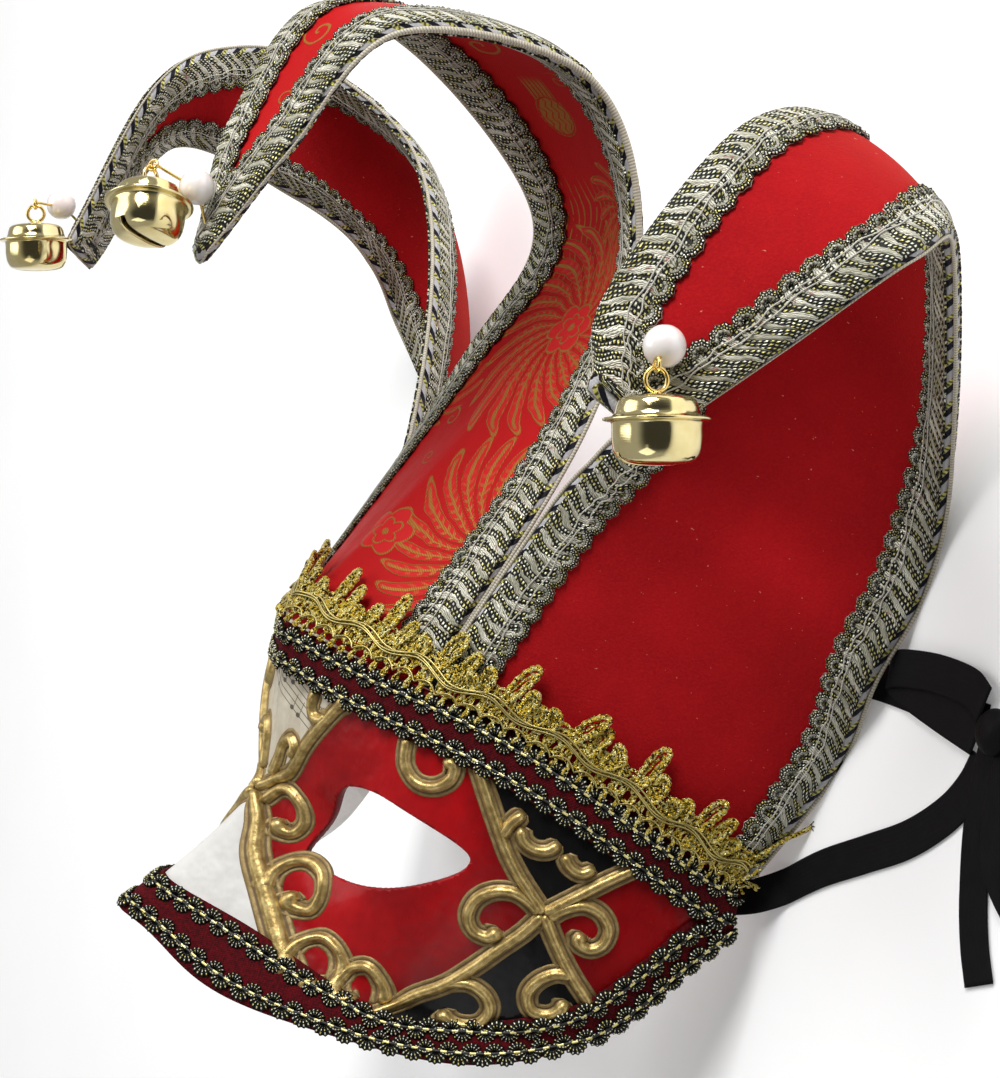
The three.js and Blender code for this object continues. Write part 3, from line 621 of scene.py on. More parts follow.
# The scrollwork: raised lines on each half of the face, as [u, y] guides
scrollShape = {"margin": 2.5, "bead": 1.3, "height": 1.75, "edge": 0.34, "groove": 1.55, "sunk": 0.7,
               "step": 0.85, "columns": 17, "knob": 0.28}
scrollPaint = {"gold": (0.56, 0.42, 0.165), "dullGold": (0.30, 0.205, 0.065), "dark": (0.085, 0.045, 0.014)}
scrollLines = [
    [(0.3, -1.5), (2.6, -3.6), (5.6, -7), (9.6, -13.5), (17, -21.1), (28, -31.1), (34.5, -36)],
    [(0.3, -0.8), (3.9, 3.0), (8.9, 6.6), (14.3, 15.6), (18.5, 22.1), (24, 30.5)],
    [(3.6, -3), (6.2, 1.4), (9.5, 2.2), (13.2, -0.2), (14.6, -4.2), (12.8, -7.6), (9.8, -7.2), (9.3, -5)],
    [(16.7, -21), (15.2, -17), (16.3, -13.8), (19.8, -11.9), (25.4, -13.4), (27.9, -18), (26.3, -22),
     (22.2, -22.2), (21.1, -19.2)],
    [(33, -37), (29.9, -32.5), (29.6, -29), (32, -26.6), (35.9, -27.4), (39.6, -31), (41.2, -35),
     (38.9, -37), (36.2, -35.4)],
    [(52, -35.9), (48.6, -31.4), (44.6, -29), (41.2, -31), (41.4, -35), (44.9, -37.8), (47.6, -36.9)],
    [(51.9, -39), (56, -32.4), (62.7, -26.6), (68.5, -19.5), (72.6, -13.8), (75.9, -9.5), (79.5, -3.3)],
    [(79.5, -3.3), (76, 0.1), (72.4, 3.9), (69.4, 7.6), (66.6, 12), (61.2, 20.6), (57.5, 26.5)],
    [(66.9, 11.2), (68, 14.6), (70.4, 18.4)],
    [(79.5, -3.3), (85, 2), (90.7, 7.3), (98, 13)],
    [(79.5, -3.3), (82.9, -8.7), (88.1, -15.6), (96.5, -24)],
    [(78.6, -3.6), (76, -1.6), (72.4, -0.3), (68.0, -1.4), (64.8, -4.8), (64.2, -9.2), (66.2, -12),
     (69.6, -12.2), (71.2, -9.6)],
    [(80.6, -4.2), (83.4, -1.2), (87.6, 0.8), (91.6, -0.2), (94.2, -3.6), (93.6, -7.4), (90.9, -9.1),
     (88.2, -7.8), (88.9, -5.6)],
    [(60.5, -28.6), (63.6, -26), (67.6, -24.8), (71.4, -26.2), (73.4, -29.6), (72.2, -33.2), (68.6, -35),
     (64.6, -34.4), (63.4, -32.8)],
    [(88.8, -16.4), (85.2, -16.8), (81.8, -19.6), (80.4, -23.4), (82, -27), (85.6, -27.2), (88.2, -25.2),
     (89.2, -22.6)],
    [(41.1, 26.6), (42.4, 20.4), (46.2, 17.4), (50.4, 18), (53.3, 21), (53, 24), (50.6, 24.2)],
    [(70.4, 14.8), (71.6, 12), (74.4, 10.7), (77.3, 11.4), (79.2, 13.6)],
    [(80.8, 11.4), (82.4, 9), (85.2, 8), (87.9, 9.9)],
    [(2.4, 3.6), (4, 8.2), (5.2, 12.4), (8, 14.8), (10.2, 12.8), (8.6, 10.6)],
    [(19.6, 24.4), (17.4, 22.6), (14.8, 22.9), (13.6, 25.4), (14.4, 29)],
]


# Antique gold: rubbed bright on the bead, brown in the grooves beside it and along the edges
def paintScroll(where, places):
    _, side, _ = axes(places)
    grime = noise(where, 0.45, 4.0, 0.6)
    groove = smooth(abs(abs(side) - scrollShape["groove"]), 0.42, 0.08)
    edge = smooth(abs(side), 1.9, 2.45)
    margin = smooth(abs(side), 1.5, 1.75) * 0.5
    dark = greater(greater(groove * 0.92, margin), edge * smooth(grime, 0.36, 0.56) * 0.85)
    gold = tint(smooth(grime, 0.35, 0.7), scrollPaint["dullGold"], scrollPaint["gold"])
    return {"Base Color": tint(dark, gold, scrollPaint["dark"]), "Roughness": 0.38 + dark * 0.3,
            "Metallic": 0.72 - dark * 0.5, "height": grime * 0.22}


antiqueGold = material("antiqueGold", paintScroll, **{"Specular IOR Level": 0.6})


# A raised line: a flat margin, a dip and a round bead, carried along its guides on the surface; the
# curled ones swell to a knob at their end, the borders of the painted areas don't
def scroll(guides, hand):
    line = evenLine(guides, scrollShape["step"])
    run = unit(np.gradient(line, axis=0))
    side = np.linspace(-1, 1, scrollShape["columns"])
    side = scrollShape["margin"] * (0.72 * side + 0.28 * side ** 3)
    bead = scrollShape["height"] * np.sqrt(np.maximum(0, 1 - (side / scrollShape["bead"]) ** 2))
    margin = scrollShape["edge"] * np.minimum(1, (scrollShape["margin"] - np.abs(side)) / 0.3)
    rise = np.maximum(bead, margin) - 0.3 * bump(np.abs(side) - scrollShape["groove"], 0.25)
    far = lengths(line)
    left = far[-1] - far
    curls = len(guides) > 5 and guides[-1] not in ((34.5, -36), (79.5, -3.3), (57.5, 26.5))
    swell = 1 + (scrollShape["knob"] if curls else 0) * bump(left - 1.6, 1.6)
    ending, starting = np.clip((left + 0.25) / 1.4, 0.03, 1), np.clip(far + 0.25, 0.03, 1)
    swell = swell * np.sqrt(ending) * np.sqrt(starting)
    u = line[:, :1] - run[:, 1:] * side * swell[:, None]
    y = line[:, 1:2] + run[:, :1] * side * swell[:, None]
    top = faceAt(hand * u, y, rise * swell[:, None])
    under = faceAt(hand * u, y, -scrollShape["sunk"])
    return slab("scroll", top, under, mapOf(far[:, None], side), antiqueGold)


scrolls = join("scrollwork", [scroll(guides, hand) for guides in scrollLines for hand in (1, -1)])
piece(scrolls, "face_paint")
print("scrollwork made")


# The burgundy braid on the forehead and round the rim: wine cloth, and along each edge a pale gold
# thread with fans of black and silver cord on both sides of it
trimShape = {"width": 11.5, "gap": 0.35, "cloth": 1.1, "steps": 520, "columns": 11, "rows": (0.23, 0.77),
             "pitch": 5.4, "fan": 3.15, "innerFan": 2.75, "petals": 7, "fanRise": 0.85, "fanLift": 1.5,
             "thread": 0.32, "threadStep": 0.7, "threadLift": 2.05, "dash": 3.4, "over": 0.7, "rimDrop": 4.5}
trimPaint = {"wine": (0.092, 0.0012, 0.0038), "deepWine": (0.030, 0.0005, 0.0016),
             "black": (0.004, 0.005, 0.004), "silver": (0.86, 0.86, 0.74), "paleGold": (0.70, 0.60, 0.17),
             "brightGold": (0.78, 0.71, 0.36)}
rimBraidTop = [[0, -24.5], [20, -29], [42, -35.3], [58, -38], [76, -31.5], [92, -22.5], [104, -9],
               [116, 4], [133, 9]]


def foreheadFoot(u):
    return topLine(u) - trimShape["width"]


def foreheadTop(u):
    return topLine(u) + trimShape["over"]


# The hem hangs below the mask's rim, the most at the middle of the face
def rimHem(u):
    return rimLine(u) - trimShape["rimDrop"] * (0.35 + 0.65 * np.sqrt(np.cos(u / faceShape["round"])))


def rimTop(u):
    line = spline(rimBraidTop, np.linspace(0, 1, 400))
    drawn = np.interp(np.abs(u), line[:, 0], line[:, 1])
    return np.maximum(np.minimum(drawn, foreheadFoot(u) - 0.3), rimHem(u) + 2)


# Fine plain weave, the product of a sine along it and one across, under a felted noise
def paintWine(where, places):
    along, across, _ = axes(places)
    weave = sine(along * 9.0) * sine(across * 9.0)
    pile = noise(where, 1.2, 3.0, 0.65)
    return {"Base Color": tint(smooth(pile, 0.3, 0.7), trimPaint["deepWine"], trimPaint["wine"]),
            "Roughness": 0.75 + pile * 0.2, "height": weave * 0.05 + pile * 0.22}


# Black cord in petals, each with a dotted silver line down it; places are (petal, share of the radius)
def paintFan(where, places):
    petal, reach, _ = axes(places)
    middle = abs(cycle(petal) - 0.5)
    dot = abs(cycle(reach * 4.2 + 0.1) - 0.5)
    lengthwise = smooth(reach, 0.36, 0.44) * smooth(reach, 1.0, 0.94)
    silver = smooth(middle, 0.20, 0.09) * smooth(dot, 0.34, 0.22) * lengthwise
    glint = noise(where, 1.7, 2.0)
    lit = tint(smooth(glint, 0.45, 0.6), trimPaint["silver"], trimPaint["paleGold"])
    return {"Base Color": tint(silver, trimPaint["black"], lit), "Metallic": silver * 0.35,
            "Roughness": 0.6 - silver * 0.25, "height": (0.5 - middle) * 0.5 + silver * 0.12}


# A pale gold thread that dips under the cloth at even steps
def paintDashes(where, places):
    along, around, _ = axes(places)
    share = cycle(along / trimShape["dash"])
    shown = smooth(share, 0.06, 0.12) * smooth(share, 0.54, 0.48)
    twist = cycle(along * 1.1 + around * 0.6)
    gold = tint(twist, trimPaint["paleGold"], trimPaint["brightGold"])
    return {"Base Color": tint(shown, trimPaint["black"], gold), "Metallic": shown * 0.4,
            "Roughness": 0.5 - shown * 0.2, "height": twist * 0.12}


wineCloth = material("wineCloth", paintWine, **{"Specular IOR Level": 0.12})
fanCord = material("blackSilverCord", paintFan, **{"Specular IOR Level": 0.15})
dashThread = material("dashedGoldThread", paintDashes)


# Places along a line of the braid, a share of the way from its low line to its high one: origins,
# and the ways along it, across it and out
def alongTrim(low, high, share, pitch, start, end, out):

    def at(u, lift):
        return faceAt(u, low(u) + (high(u) - low(u)) * share, lift)

    u = np.linspace(-end, end, 1600)
    far = lengths(at(u, out))
    places = np.arange(far[0] + start * pitch, far[-1], pitch)
    u = np.interp(places, far, u)
    along = unit(at(u + 0.05, out) - at(u - 0.05, out))
    outward = unit(at(u, out + 1) - at(u, out))
    return at(u, out), along, np.cross(outward, along), outward


# Copies of one small body, each in its own place and turned to its own axes
def stamped(name, shape, places, paint, origins, along, across, outward):
    rings = (origins[:, None, None] + shape[..., :1] * along[:, None, None]
             + shape[..., 1:2] * across[:, None, None] + shape[..., 2:] * outward[:, None, None])
    return closedLoft(name, rings, np.broadcast_to(places, (len(origins), *places.shape)), paint)


# A fan is a low dome over half a turn, smaller and lower between its petals; its places are
# (petal, share of the radius). reach and rise are its section from the heart out and back under,
# as shares of the radius and the height.
def fanShape(radius, petals, height):
    angle = np.linspace(0, 1, 2 * petals + 1)[:, None]
    reach = np.array([0.18, 0.78, 1.0, 0.5])
    rise = np.array([0.9, 0.95, 0.05, -0.3])
    lobe = np.arange(2 * petals + 1)[:, None] % 2
    r = radius * reach * (0.88 + 0.12 * lobe)
    z = height * np.where(rise > 0.1, rise * (0.62 + 0.38 * lobe), rise)
    shape = np.stack([r * np.cos(math.pi * angle), r * np.sin(math.pi * angle), z], -1)
    places = mapOf(petals * angle, np.append(reach, reach[0]))
    return shape, places


# One braid between its low and its high line, which reaches `end` millimetres round the face each
# way; its two rows of thread and fans have ends of their own
def trimPieces(name, low, high, end, rowEnds):
    u = np.linspace(-end, end, trimShape["steps"])[:, None]
    share = np.linspace(0, 1, trimShape["columns"])
    y = low(u) + (high(u) - low(u)) * (0.03 + 0.97 * share)
    top = trimShape["gap"] + trimShape["cloth"] * (0.55 + 0.45 * np.sin(math.pi * share) ** 0.5)
    far = lengths(faceAt(u[:, 0], y[:, trimShape["columns"] // 2], 1))
    places = mapOf(far[:, None], share * trimShape["width"])
    made = [slab(name, faceAt(u, y, top), faceAt(u, y, trimShape["gap"]), places, wineCloth)]
    for row, side, rowEnd in zip(trimShape["rows"], (-1, 1), rowEnds):
        for way, radius, start in ((side, trimShape["fan"], 0.3), (-side, trimShape["innerFan"], 0.8)):
            shape, petals = fanShape(radius, trimShape["petals"], trimShape["fanRise"])
            origins, along, across, outward = alongTrim(low, high, row, trimShape["pitch"], start, rowEnd,
                                                        trimShape["fanLift"])
            made.append(stamped("fans", shape, petals, fanCord, origins, way * along, way * across, outward))
        line = alongTrim(low, high, row, trimShape["threadStep"], 0, rowEnd, trimShape["threadLift"])[0]
        made.append(wire("thread", line, trimShape["thread"], dashThread, 8))
    return join(name, made)


foreheadBraid = trimPieces("foreheadBraid", foreheadFoot, foreheadTop, 130.5, (129, 129))
piece(foreheadBraid, "burgundy_braid", "forehead_braid")
piece(trimPieces("rimBraid", rimHem, rimTop, 131.5, (131, 119)), "burgundy_braid", "rim_braid")
print("burgundy braids made")


# The three cloth points: each edge runs from the face's top line, baseAt millimetres round it,
# through its guides to the tip. bow is how far the cloth bows back, and outward turns its normal
# to the front. s and q are shares of the way up and across.
pointShape = {"thick": 2.0, "hemInset": 1.8, "footGap": 0.8, "footFade": 0.35, "bowEnd": 0.8,
              "tipInset": 0.03, "stripLimit": 0.46, "cordOffset": 2.4, "drawnOn": 1.5, "pucker": 0.16,
              "rows": 170, "columns": 30}


class ClothPoint:
    def __init__(self, baseAt, bow, outward, edges):
        self.baseAt, self.bow, self.outward = baseAt, bow, outward
        self.edges = [np.vstack([self.foot(np.array(float(k))), guides]) for k, guides in enumerate(edges)]
        self.firstSpan = [np.linalg.norm(edge[1] - edge[0]) * (len(edge) - 1) for edge in self.edges]

    def foot(self, q):
        u = self.baseAt[0] + (self.baseAt[1] - self.baseAt[0]) * q
        return faceAt(u, topLine(u) + pointShape["footGap"], -faceShape["wall"] / 2)

    # the cloth's two edges, a little inside the lines of the guides
    def hems(self, s):
        one, two = spline(self.edges[0], s, True), spline(self.edges[1], s, True)
        inset = unit(two - one) * pointShape["hemInset"]
        return one + inset, two - inset

    # straight across between the hems, following the face's top line at the foot and bowing back
    # further up, most in the middle of its width; past the tip it goes straight on
    def middle(self, s, q):
        s, q = np.broadcast_arrays(np.asarray(s, float), np.asarray(q, float))
        if s.max() > 1:
            onward = (self.middle(np.ones_like(s), q) - self.middle(np.full_like(s, 0.99), q)) * 100
            return self.middle(np.minimum(s, 1), q) + onward * np.maximum(s - 1, 0)[..., None]
        one, two = self.hems(s)
        q3 = q[..., None]
        first, last = self.hems(np.zeros_like(s))
        fade = np.maximum(0, 1 - s / pointShape["footFade"])[..., None] ** 2
        low, high = np.maximum(s - 0.0001, 0), np.minimum(s + 0.0001, 1)
        up = sum(unit(spline(edge, high, True) - spline(edge, low, True)) for edge in self.edges)
        back = unit(np.cross(up, two - one)) * self.outward
        along = np.minimum(s / pointShape["bowEnd"], 1)
        bow = (self.bow * 4 * q * (1 - q) * np.sin(math.pi * along) ** 2)[..., None]
        return one + (two - one) * q3 + (self.foot(q) - first - (last - first) * q3) * fade + back * bow

    def across(self, s, q):
        return unit(self.middle(s, np.clip(q, 0, 0.98) + 0.02) - self.middle(s, np.clip(q, 0.02, 1) - 0.02))

    def normal(self, s, q):
        up = self.middle(np.minimum(s + 0.004, 1), q) - self.middle(np.clip(s - 0.004, 0, 0.99), q)
        return unit(np.cross(self.across(s, q), up)) * self.outward

    def at(self, s, q, out):
        return self.middle(s, q) + self.normal(s, q) * np.asarray(out, float)[..., None]

    def width(self, s):
        one, two = self.hems(s)
        return np.linalg.norm(two - one, axis=-1)

    # h millimetres above the foot
    def above(self, h, q, out):
        return self.at(h / (self.firstSpan[0] * (1 - q) + self.firstSpan[1] * q), q, out)

    # (s, q) of a strip up one edge, round the tip and down the other: a from 0 to 3, inward in
    # millimetres from the hem, its foot at s = low
    def strip(self, a, inward, low):
        a, inward = np.broadcast_arrays(np.asarray(a, float), np.asarray(inward, float))
        rise = np.clip(np.minimum(a, 3 - a), 0, 1)
        turn = np.clip(a - 1, 0, 1)
        s = low + (1 - low) * rise
        part = np.minimum(inward / self.width(s), pointShape["stripLimit"])
        s = s - pointShape["tipInset"] * (rise >= 1) * inward / 9
        return s, part + (1 - 2 * part) * turn


points = {
    "centre": ClothPoint((-37, 37), 4, 1, (
        [[-30, 106, 43], [-22, 147, 34], [-20, 180, 74], [-15, 184, 109], [-12, 154, 124], [-4, 127, 129]],
        [[32, 105, 42], [26, 151, 35], [19, 184, 56], [17, 183, 103], [13, 152, 121], [5, 126, 131]])),
    "left": ClothPoint((45.5, 127), 7, 1, (
        [[54, 86, 54], [63, 102, 51], [72, 118, 48], [93, 163, 44],
         [110, 182, 49], [122, 175, 75], [126, 141, 96], [130, 126, 97]],
        [[93, 47, -6.3], [102.7, 70.5, -3], [106, 93, -7.2], [115, 124, 2],
         [144, 165, 38], [161, 161, 61], [149, 139, 76], [137, 121, 87]])),
    "right": ClothPoint((-45.5, -127), 9, -1, (
        [[-52, 69, 42], [-81, 122, 30], [-117, 156, 28], [-144, 172, 50],
         [-143, 171, 79], [-131, 156, 104], [-125, 113, 120]],
        [[-103, 48, -6.1], [-124, 77, -4.7], [-145, 102, 4], [-146, 123, 23],
         [-145, 137, 51], [-146, 143, 91], [-131, 108, 112]])),
}


clothPaint = {"velvet": (0.33, 0.005, 0.008), "deepVelvet": (0.27, 0.004, 0.007),
              "pile": (0.45, 0.014, 0.012), "lint": (0.72, 0.30, 0.22),
              "satin": (0.38, 0.008, 0.009), "figure": (0.50, 0.017, 0.018),
              "gold": (0.39, 0.185, 0.044), "deepGold": (0.19, 0.066, 0.011), "sheen": (1.0, 0.16, 0.09, 1.0)}


# Velvet: short pile that catches the light at a slant, brushed in soft patches, with specks of lint
def paintVelvet(where, places):
    brushed = noise(where, 0.045, 4.0, 0.62)
    pile = noise(where, 1.6, 3.0, 0.7)
    lint = smooth(noise(where, 1.15, 2.0, 0.5, (1, 1, 0.4)), 0.745, 0.76)
    red = tint(smooth(brushed, 0.3, 0.7), clothPaint["deepVelvet"], clothPaint["velvet"])
    red = tint(smooth(pile, 0.35, 0.75) * 0.3, red, clothPaint["pile"])
    return {"Base Color": tint(lint * 0.5, red, clothPaint["lint"]), "Roughness": 0.8 + pile * 0.18,
            "height": pile * 0.18 + brushed * 0.15}


# Distance and angle from a centre on the cloth
def polar(along, across, centre):
    x, y = along - centre[0], across - centre[1]
    return (x * x + y * y) ** 0.5, y.maths("ARCTAN2", y, x)


# Rays of long leaves round a centre: petals that swing sideways further out, widest at half their
# reach. Gives the gold of their outlines and veins, and the lighter satin inside.
def spray(along, across, centre, near, far, count, swing, width):
    reach, angle = polar(along, across, centre)
    crest = abs(sine((angle + reach * swing) * (count / 2)))
    share = (reach - near) / (far - near)
    wavy = share + sine(angle * 3.0 + 1.0) * 0.14
    swell = 1 - ((wavy - 0.45) / 0.55) ** 2
    leaf = swell * width - (1 - crest)
    outline = smooth(abs(leaf), 0.085, 0.03)
    vein = smooth(1 - crest, 0.05, 0.016) * smooth(leaf, 0.1, 0.2)
    hatch = smooth(sine(reach * 2.6 + crest * 5.0), 0.1, 0.6)
    hatch = hatch * smooth(leaf, 0.12, 0.28) * smooth(share, 0.9, 0.35)
    beyond = smooth(reach, near * 0.9, near)
    return greater(greater(outline, vein), hatch * 0.8) * beyond, smooth(leaf, -0.02, 0.04) * beyond


# A flower of two rings of petals round a gold heart: its gold lines, and the satin inside it
def blossom(along, across, centre, size, petals, turn=0.0):
    reach, angle = polar(along, across, centre)
    reach = reach / size
    wave = abs(sine((angle + turn) * (petals / 2)))
    outer = reach - (0.72 + wave * 0.28)
    inner = reach - (0.36 + abs(sine((angle + turn) * (petals / 2) + 1.57)) * 0.2)
    lines = greater(smooth(abs(outer), 0.06, 0.03), smooth(abs(inner), 0.05, 0.025))
    return greater(lines, smooth(reach, 0.16, 0.12)), smooth(outer, 0.0, -0.03)


# A spiral tendril: angle and distance added make one arm that winds outward
def tendril(along, across, centre, size, turn):
    reach, angle = polar(along, across, centre)
    coil = abs(cycle(angle / (2 * math.pi) + reach / size * 1.4 + turn) - 0.5)
    return smooth(coil, 0.13, 0.07) * smooth(reach, size, size * 0.9)


# The brocade's figures: where each lies, (up the point, across it), and then a spray's near and far
# reach, count of leaves, swing and width, a blossom's size, petals and turn, or a tendril's size and turn
brocadeFigures = {
    "forms": ((spray, ((97, 6), 6, 30, 21, 0.030, 0.62)), (blossom, ((97, 6), 7.5, 6, 0.3)),
              (spray, ((40, 30), 6, 29, 23, -0.024, 0.62)), (blossom, ((31, 3), 7, 5, 0.6)),
              (spray, ((128, 14), 4, 15, 15, 0.05, 0.5)), (blossom, ((205, 1), 5, 6)),
              (spray, ((70, -32), 4, 17, 17, 0.06, 0.55))),
    "tendrils": (((179, -5), 5.5, 0.1), ((188, 6), 4, 0.6), ((226, -2), 5, 0.4), ((244, 2), 3.5, 0.0),
                 ((64, -14), 3.5, 0.3), ((52, -9), 3, 0.8), ((166, 8), 3.5, 0.2)),
}


# Satin brocade in red on red and gold: sprays of leaves and blossoms, each laid over the one before,
# thin flames between them, a medallion of fretwork with a tassel, and tendrils, all drawn in satin
# over a fine weave of sines
def paintBrocade(where, places):
    along, across, _ = axes(places)
    drift = (noise(where, 0.07, 2.0) - 0.5) * 5
    at, beside = along + drift, across + drift * 0.6
    parts = [form(at, beside, *values) for form, values in brocadeFigures["forms"]]
    gold, filled = parts[0]
    for lines, inside in parts[1:]:
        gold = greater(gold * (1 - inside), lines)
        filled = greater(filled, inside)
    flames = smooth(abs(sine(beside * 1.3 + sine(at * 0.33) * 1.6)), 0.42, 0.22)
    flames = flames * smooth(noise(where, 0.4), 0.40, 0.48)
    flames = flames * smooth(at, 106.0, 112.0) * smooth(at, 138.0, 130.0) * (1 - filled)
    fret = abs(sine(across * 1.5 + abs(cycle(along * 0.30) - 0.5) * 4.0)) * 0.5
    disc = (((along - 154) / 6.2) ** 2 + ((across + 1.5) / 5.4) ** 2) ** 0.5
    medallion = smooth(disc, 1.0, 0.97)
    tassel = smooth(abs(sine(across * 2.3)), 0.35, 0.6) * smooth(abs(across + 1.5), 3.6, 3.2)
    tassel = tassel * smooth(along, 158.0, 159.0) * smooth(along, 167.0, 163.0)
    frets = greater(smooth(fret, 0.19, 0.12), smooth(abs(disc - 0.90), 0.05, 0.03))
    gold = greater(gold, flames) * (1 - medallion)
    gold = greater(gold, greater(medallion * (1 - frets * 0.9), tassel * (1 - medallion)))
    for centre, size, turn in brocadeFigures["tendrils"]:
        gold = greater(gold, tendril(at, beside, centre, size, turn))
    woven = sine(along * 11) * sine(across * 11 + along * 5.5)
    rib = sine(across * 14 + along * 7)
    red = tint(filled * 0.8, clothPaint["satin"], clothPaint["figure"])
    thread = tint(smooth(rib, -0.4, 0.6), clothPaint["deepGold"], clothPaint["gold"])
    return {"Base Color": tint(gold * 0.95, red, thread), "Metallic": gold * 0.3,
            "Roughness": 0.45 + gold * 0.1 - filled * 0.1,
            "height": woven * 0.03 + gold * 0.14 + filled * 0.08 + noise(where, 0.08, 2.0) * 0.9}


velvet = material("redVelvet", paintVelvet, **{
    "Sheen Weight": 0.32, "Sheen Roughness": 0.4, "Sheen Tint": clothPaint["sheen"],
    "Specular IOR Level": 0.06})
brocade = material("redBrocade", paintBrocade, **{"Specular IOR Level": 0.04})


# The cloth: two faces between the hems, drawn on under the edge cords, with fine puckers along them
def panelPiece(name, point, paint):
    s = np.linspace(0, 1.005, pointShape["rows"])[:, None]
    beyond = pointShape["drawnOn"] / point.width(s)
    q = -beyond + (1 + 2 * beyond) * np.linspace(0, 1, pointShape["columns"])
    centre = point.middle(s, 0.5)[:, 0]
    across = (q - 0.5) * point.width(s)
    puckers = pointShape["pucker"] * np.sin(lengths(centre)[:, None] / 2.1 + 3 * q) * np.abs(2 * q - 1) ** 3
    places = mapOf(lengths(centre)[:, None], across)
    half = pointShape["thick"] / 2
    return slab(name, point.at(s, q, half + puckers), point.at(s, q, puckers - half), places, paint)


cloths = {"centre": (brocade, "brocade"), "left": (velvet, "velvet"), "right": (velvet, "velvet")}
for name, (paint, slot) in cloths.items():
    piece(panelPiece(name + "Cloth", points[name], paint), slot, name + "_point")
print("cloth points made")


# The galloon: rungs of pale satin and beaded black cord across a strip, with scalloped shells of the
# same along its inner edge and two loose white threads. It laps over the edge cord, by so much at the
# foot and at the tip, in front (1) and at the back (-1).
galloonShape = {"width": 7.2, "rung": 3.3, "low": 1.15, "high": 2.25, "backing": 0.45, "wrap": 1.85,
                "overCord": {1: (2.9, 2.6), -1: (1.5, 5.3)}, "rows": 290, "tipRows": 14, "columns": 11,
                "shell": 3.2, "shellPetals": 5, "shellRise": 0.85, "shellPitch": 5.1, "shellAt": 5.3,
                "shellLift": 1.55, "threads": ((2.6, 1.9), (4.0, 2.7)), "threadPoints": 400,
                "threadTip": 16, "threadRadius": 0.15, "threadLift": 0.16, "footAt": 0.012}
galloonPaint = {"satin": (0.80, 0.78, 0.66), "dull": (0.42, 0.41, 0.32), "shade": (0.16, 0.15, 0.10),
                "black": (0.004, 0.005, 0.003), "bead": (0.95, 0.94, 0.76), "gilt": (0.74, 0.67, 0.24),
                "stray": (0.20, 0.02, 0.02), "thread": (0.62, 0.60, 0.54), "dullThread": (0.34, 0.32, 0.27)}


# Satin and beaded cords in turn: count goes up by one for each cord, beads by one for each bead, and
# swell widens the satin
def cordStripes(where, count, beads, swell=0.0):
    share = cycle(count)
    black = smooth(share - swell, 0.33, 0.37)
    middle = abs(cycle((share - 0.36) / 0.32) - 0.5)
    shift = whole((share - 0.36) / 0.32) * 0.5
    bead = smooth(abs(cycle(beads + shift) - 0.5), 0.30, 0.20) * smooth(middle, 0.30, 0.18) * black
    fleck = noise(where, 0.55, 3.0, 0.6)
    hair = sine(beads * 3.1 + count * 44.0 + fleck * 9.0)
    pale = tint(smooth(noise(where, 0.11, 3.0), 0.42, 0.58), galloonPaint["dull"], galloonPaint["satin"])
    pale = tint(smooth(hair, -1.0, 0.5), galloonPaint["shade"], pale)
    pale = tint(smooth(fleck, 0.60, 0.68) * 0.7, pale, galloonPaint["stray"])
    lit = tint(smooth(noise(where, 0.5, 2.0), 0.43, 0.57), galloonPaint["bead"], galloonPaint["gilt"])
    color = tint(black, pale, tint(bead, galloonPaint["black"], lit))
    rise = greater(black * (0.42 - middle), (1 - black) * (0.22 - abs(share - 0.17)) * 1.6)
    return {"Base Color": color, "Metallic": bead * 0.35, "Roughness": 0.5 + black * 0.15 - bead * 0.3,
            "height": rise * 0.9 + bead * 0.2 + hair * 0.035}


# The strip: stripes across it, bowed by a sine and wavered by noise
def paintRungs(where, places):
    along, across, _ = axes(places)
    bowed = sine(across * 0.5 + 0.4) * 1.3
    count = (along + bowed) / galloonShape["rung"] + (noise(where, 0.14, 4.0, 0.7) - 0.5) * 1.1
    parity = cycle(whole(count) * 0.5)  # each other tuft lies further in
    swell = 0.24 - abs(across - parity * 5.4 - 0.3) * 0.10
    return cordStripes(where, count, across * 1.25, swell)


# The shells: the same stripes along each petal's reach
def paintShell(where, places):
    turn, reach, _ = axes(places)
    return cordStripes(where, reach * 1.45 - 0.42 + (noise(where, 0.16, 3.0, 0.6) - 0.5) * 0.3, turn * 2.3)


rungCord = material("galloonRungs", paintRungs, **{"Specular IOR Level": 0.3})
shellCord = material("galloonShells", paintShell, **{"Specular IOR Level": 0.3})


# Places up one edge, round the tip and down the other, from 0 to 3
def roundPoint(count, tipCount):
    edges = np.linspace(0, 1, count), np.linspace(2, 3, count)
    return np.concatenate([edges[0], np.linspace(1, 2, tipCount)[1:-1], edges[1]])


# Vectors squared to a direction, as unit vectors
def squared(vectors, along):
    return unit(vectors - (vectors * along).sum(-1, keepdims=True) * along)


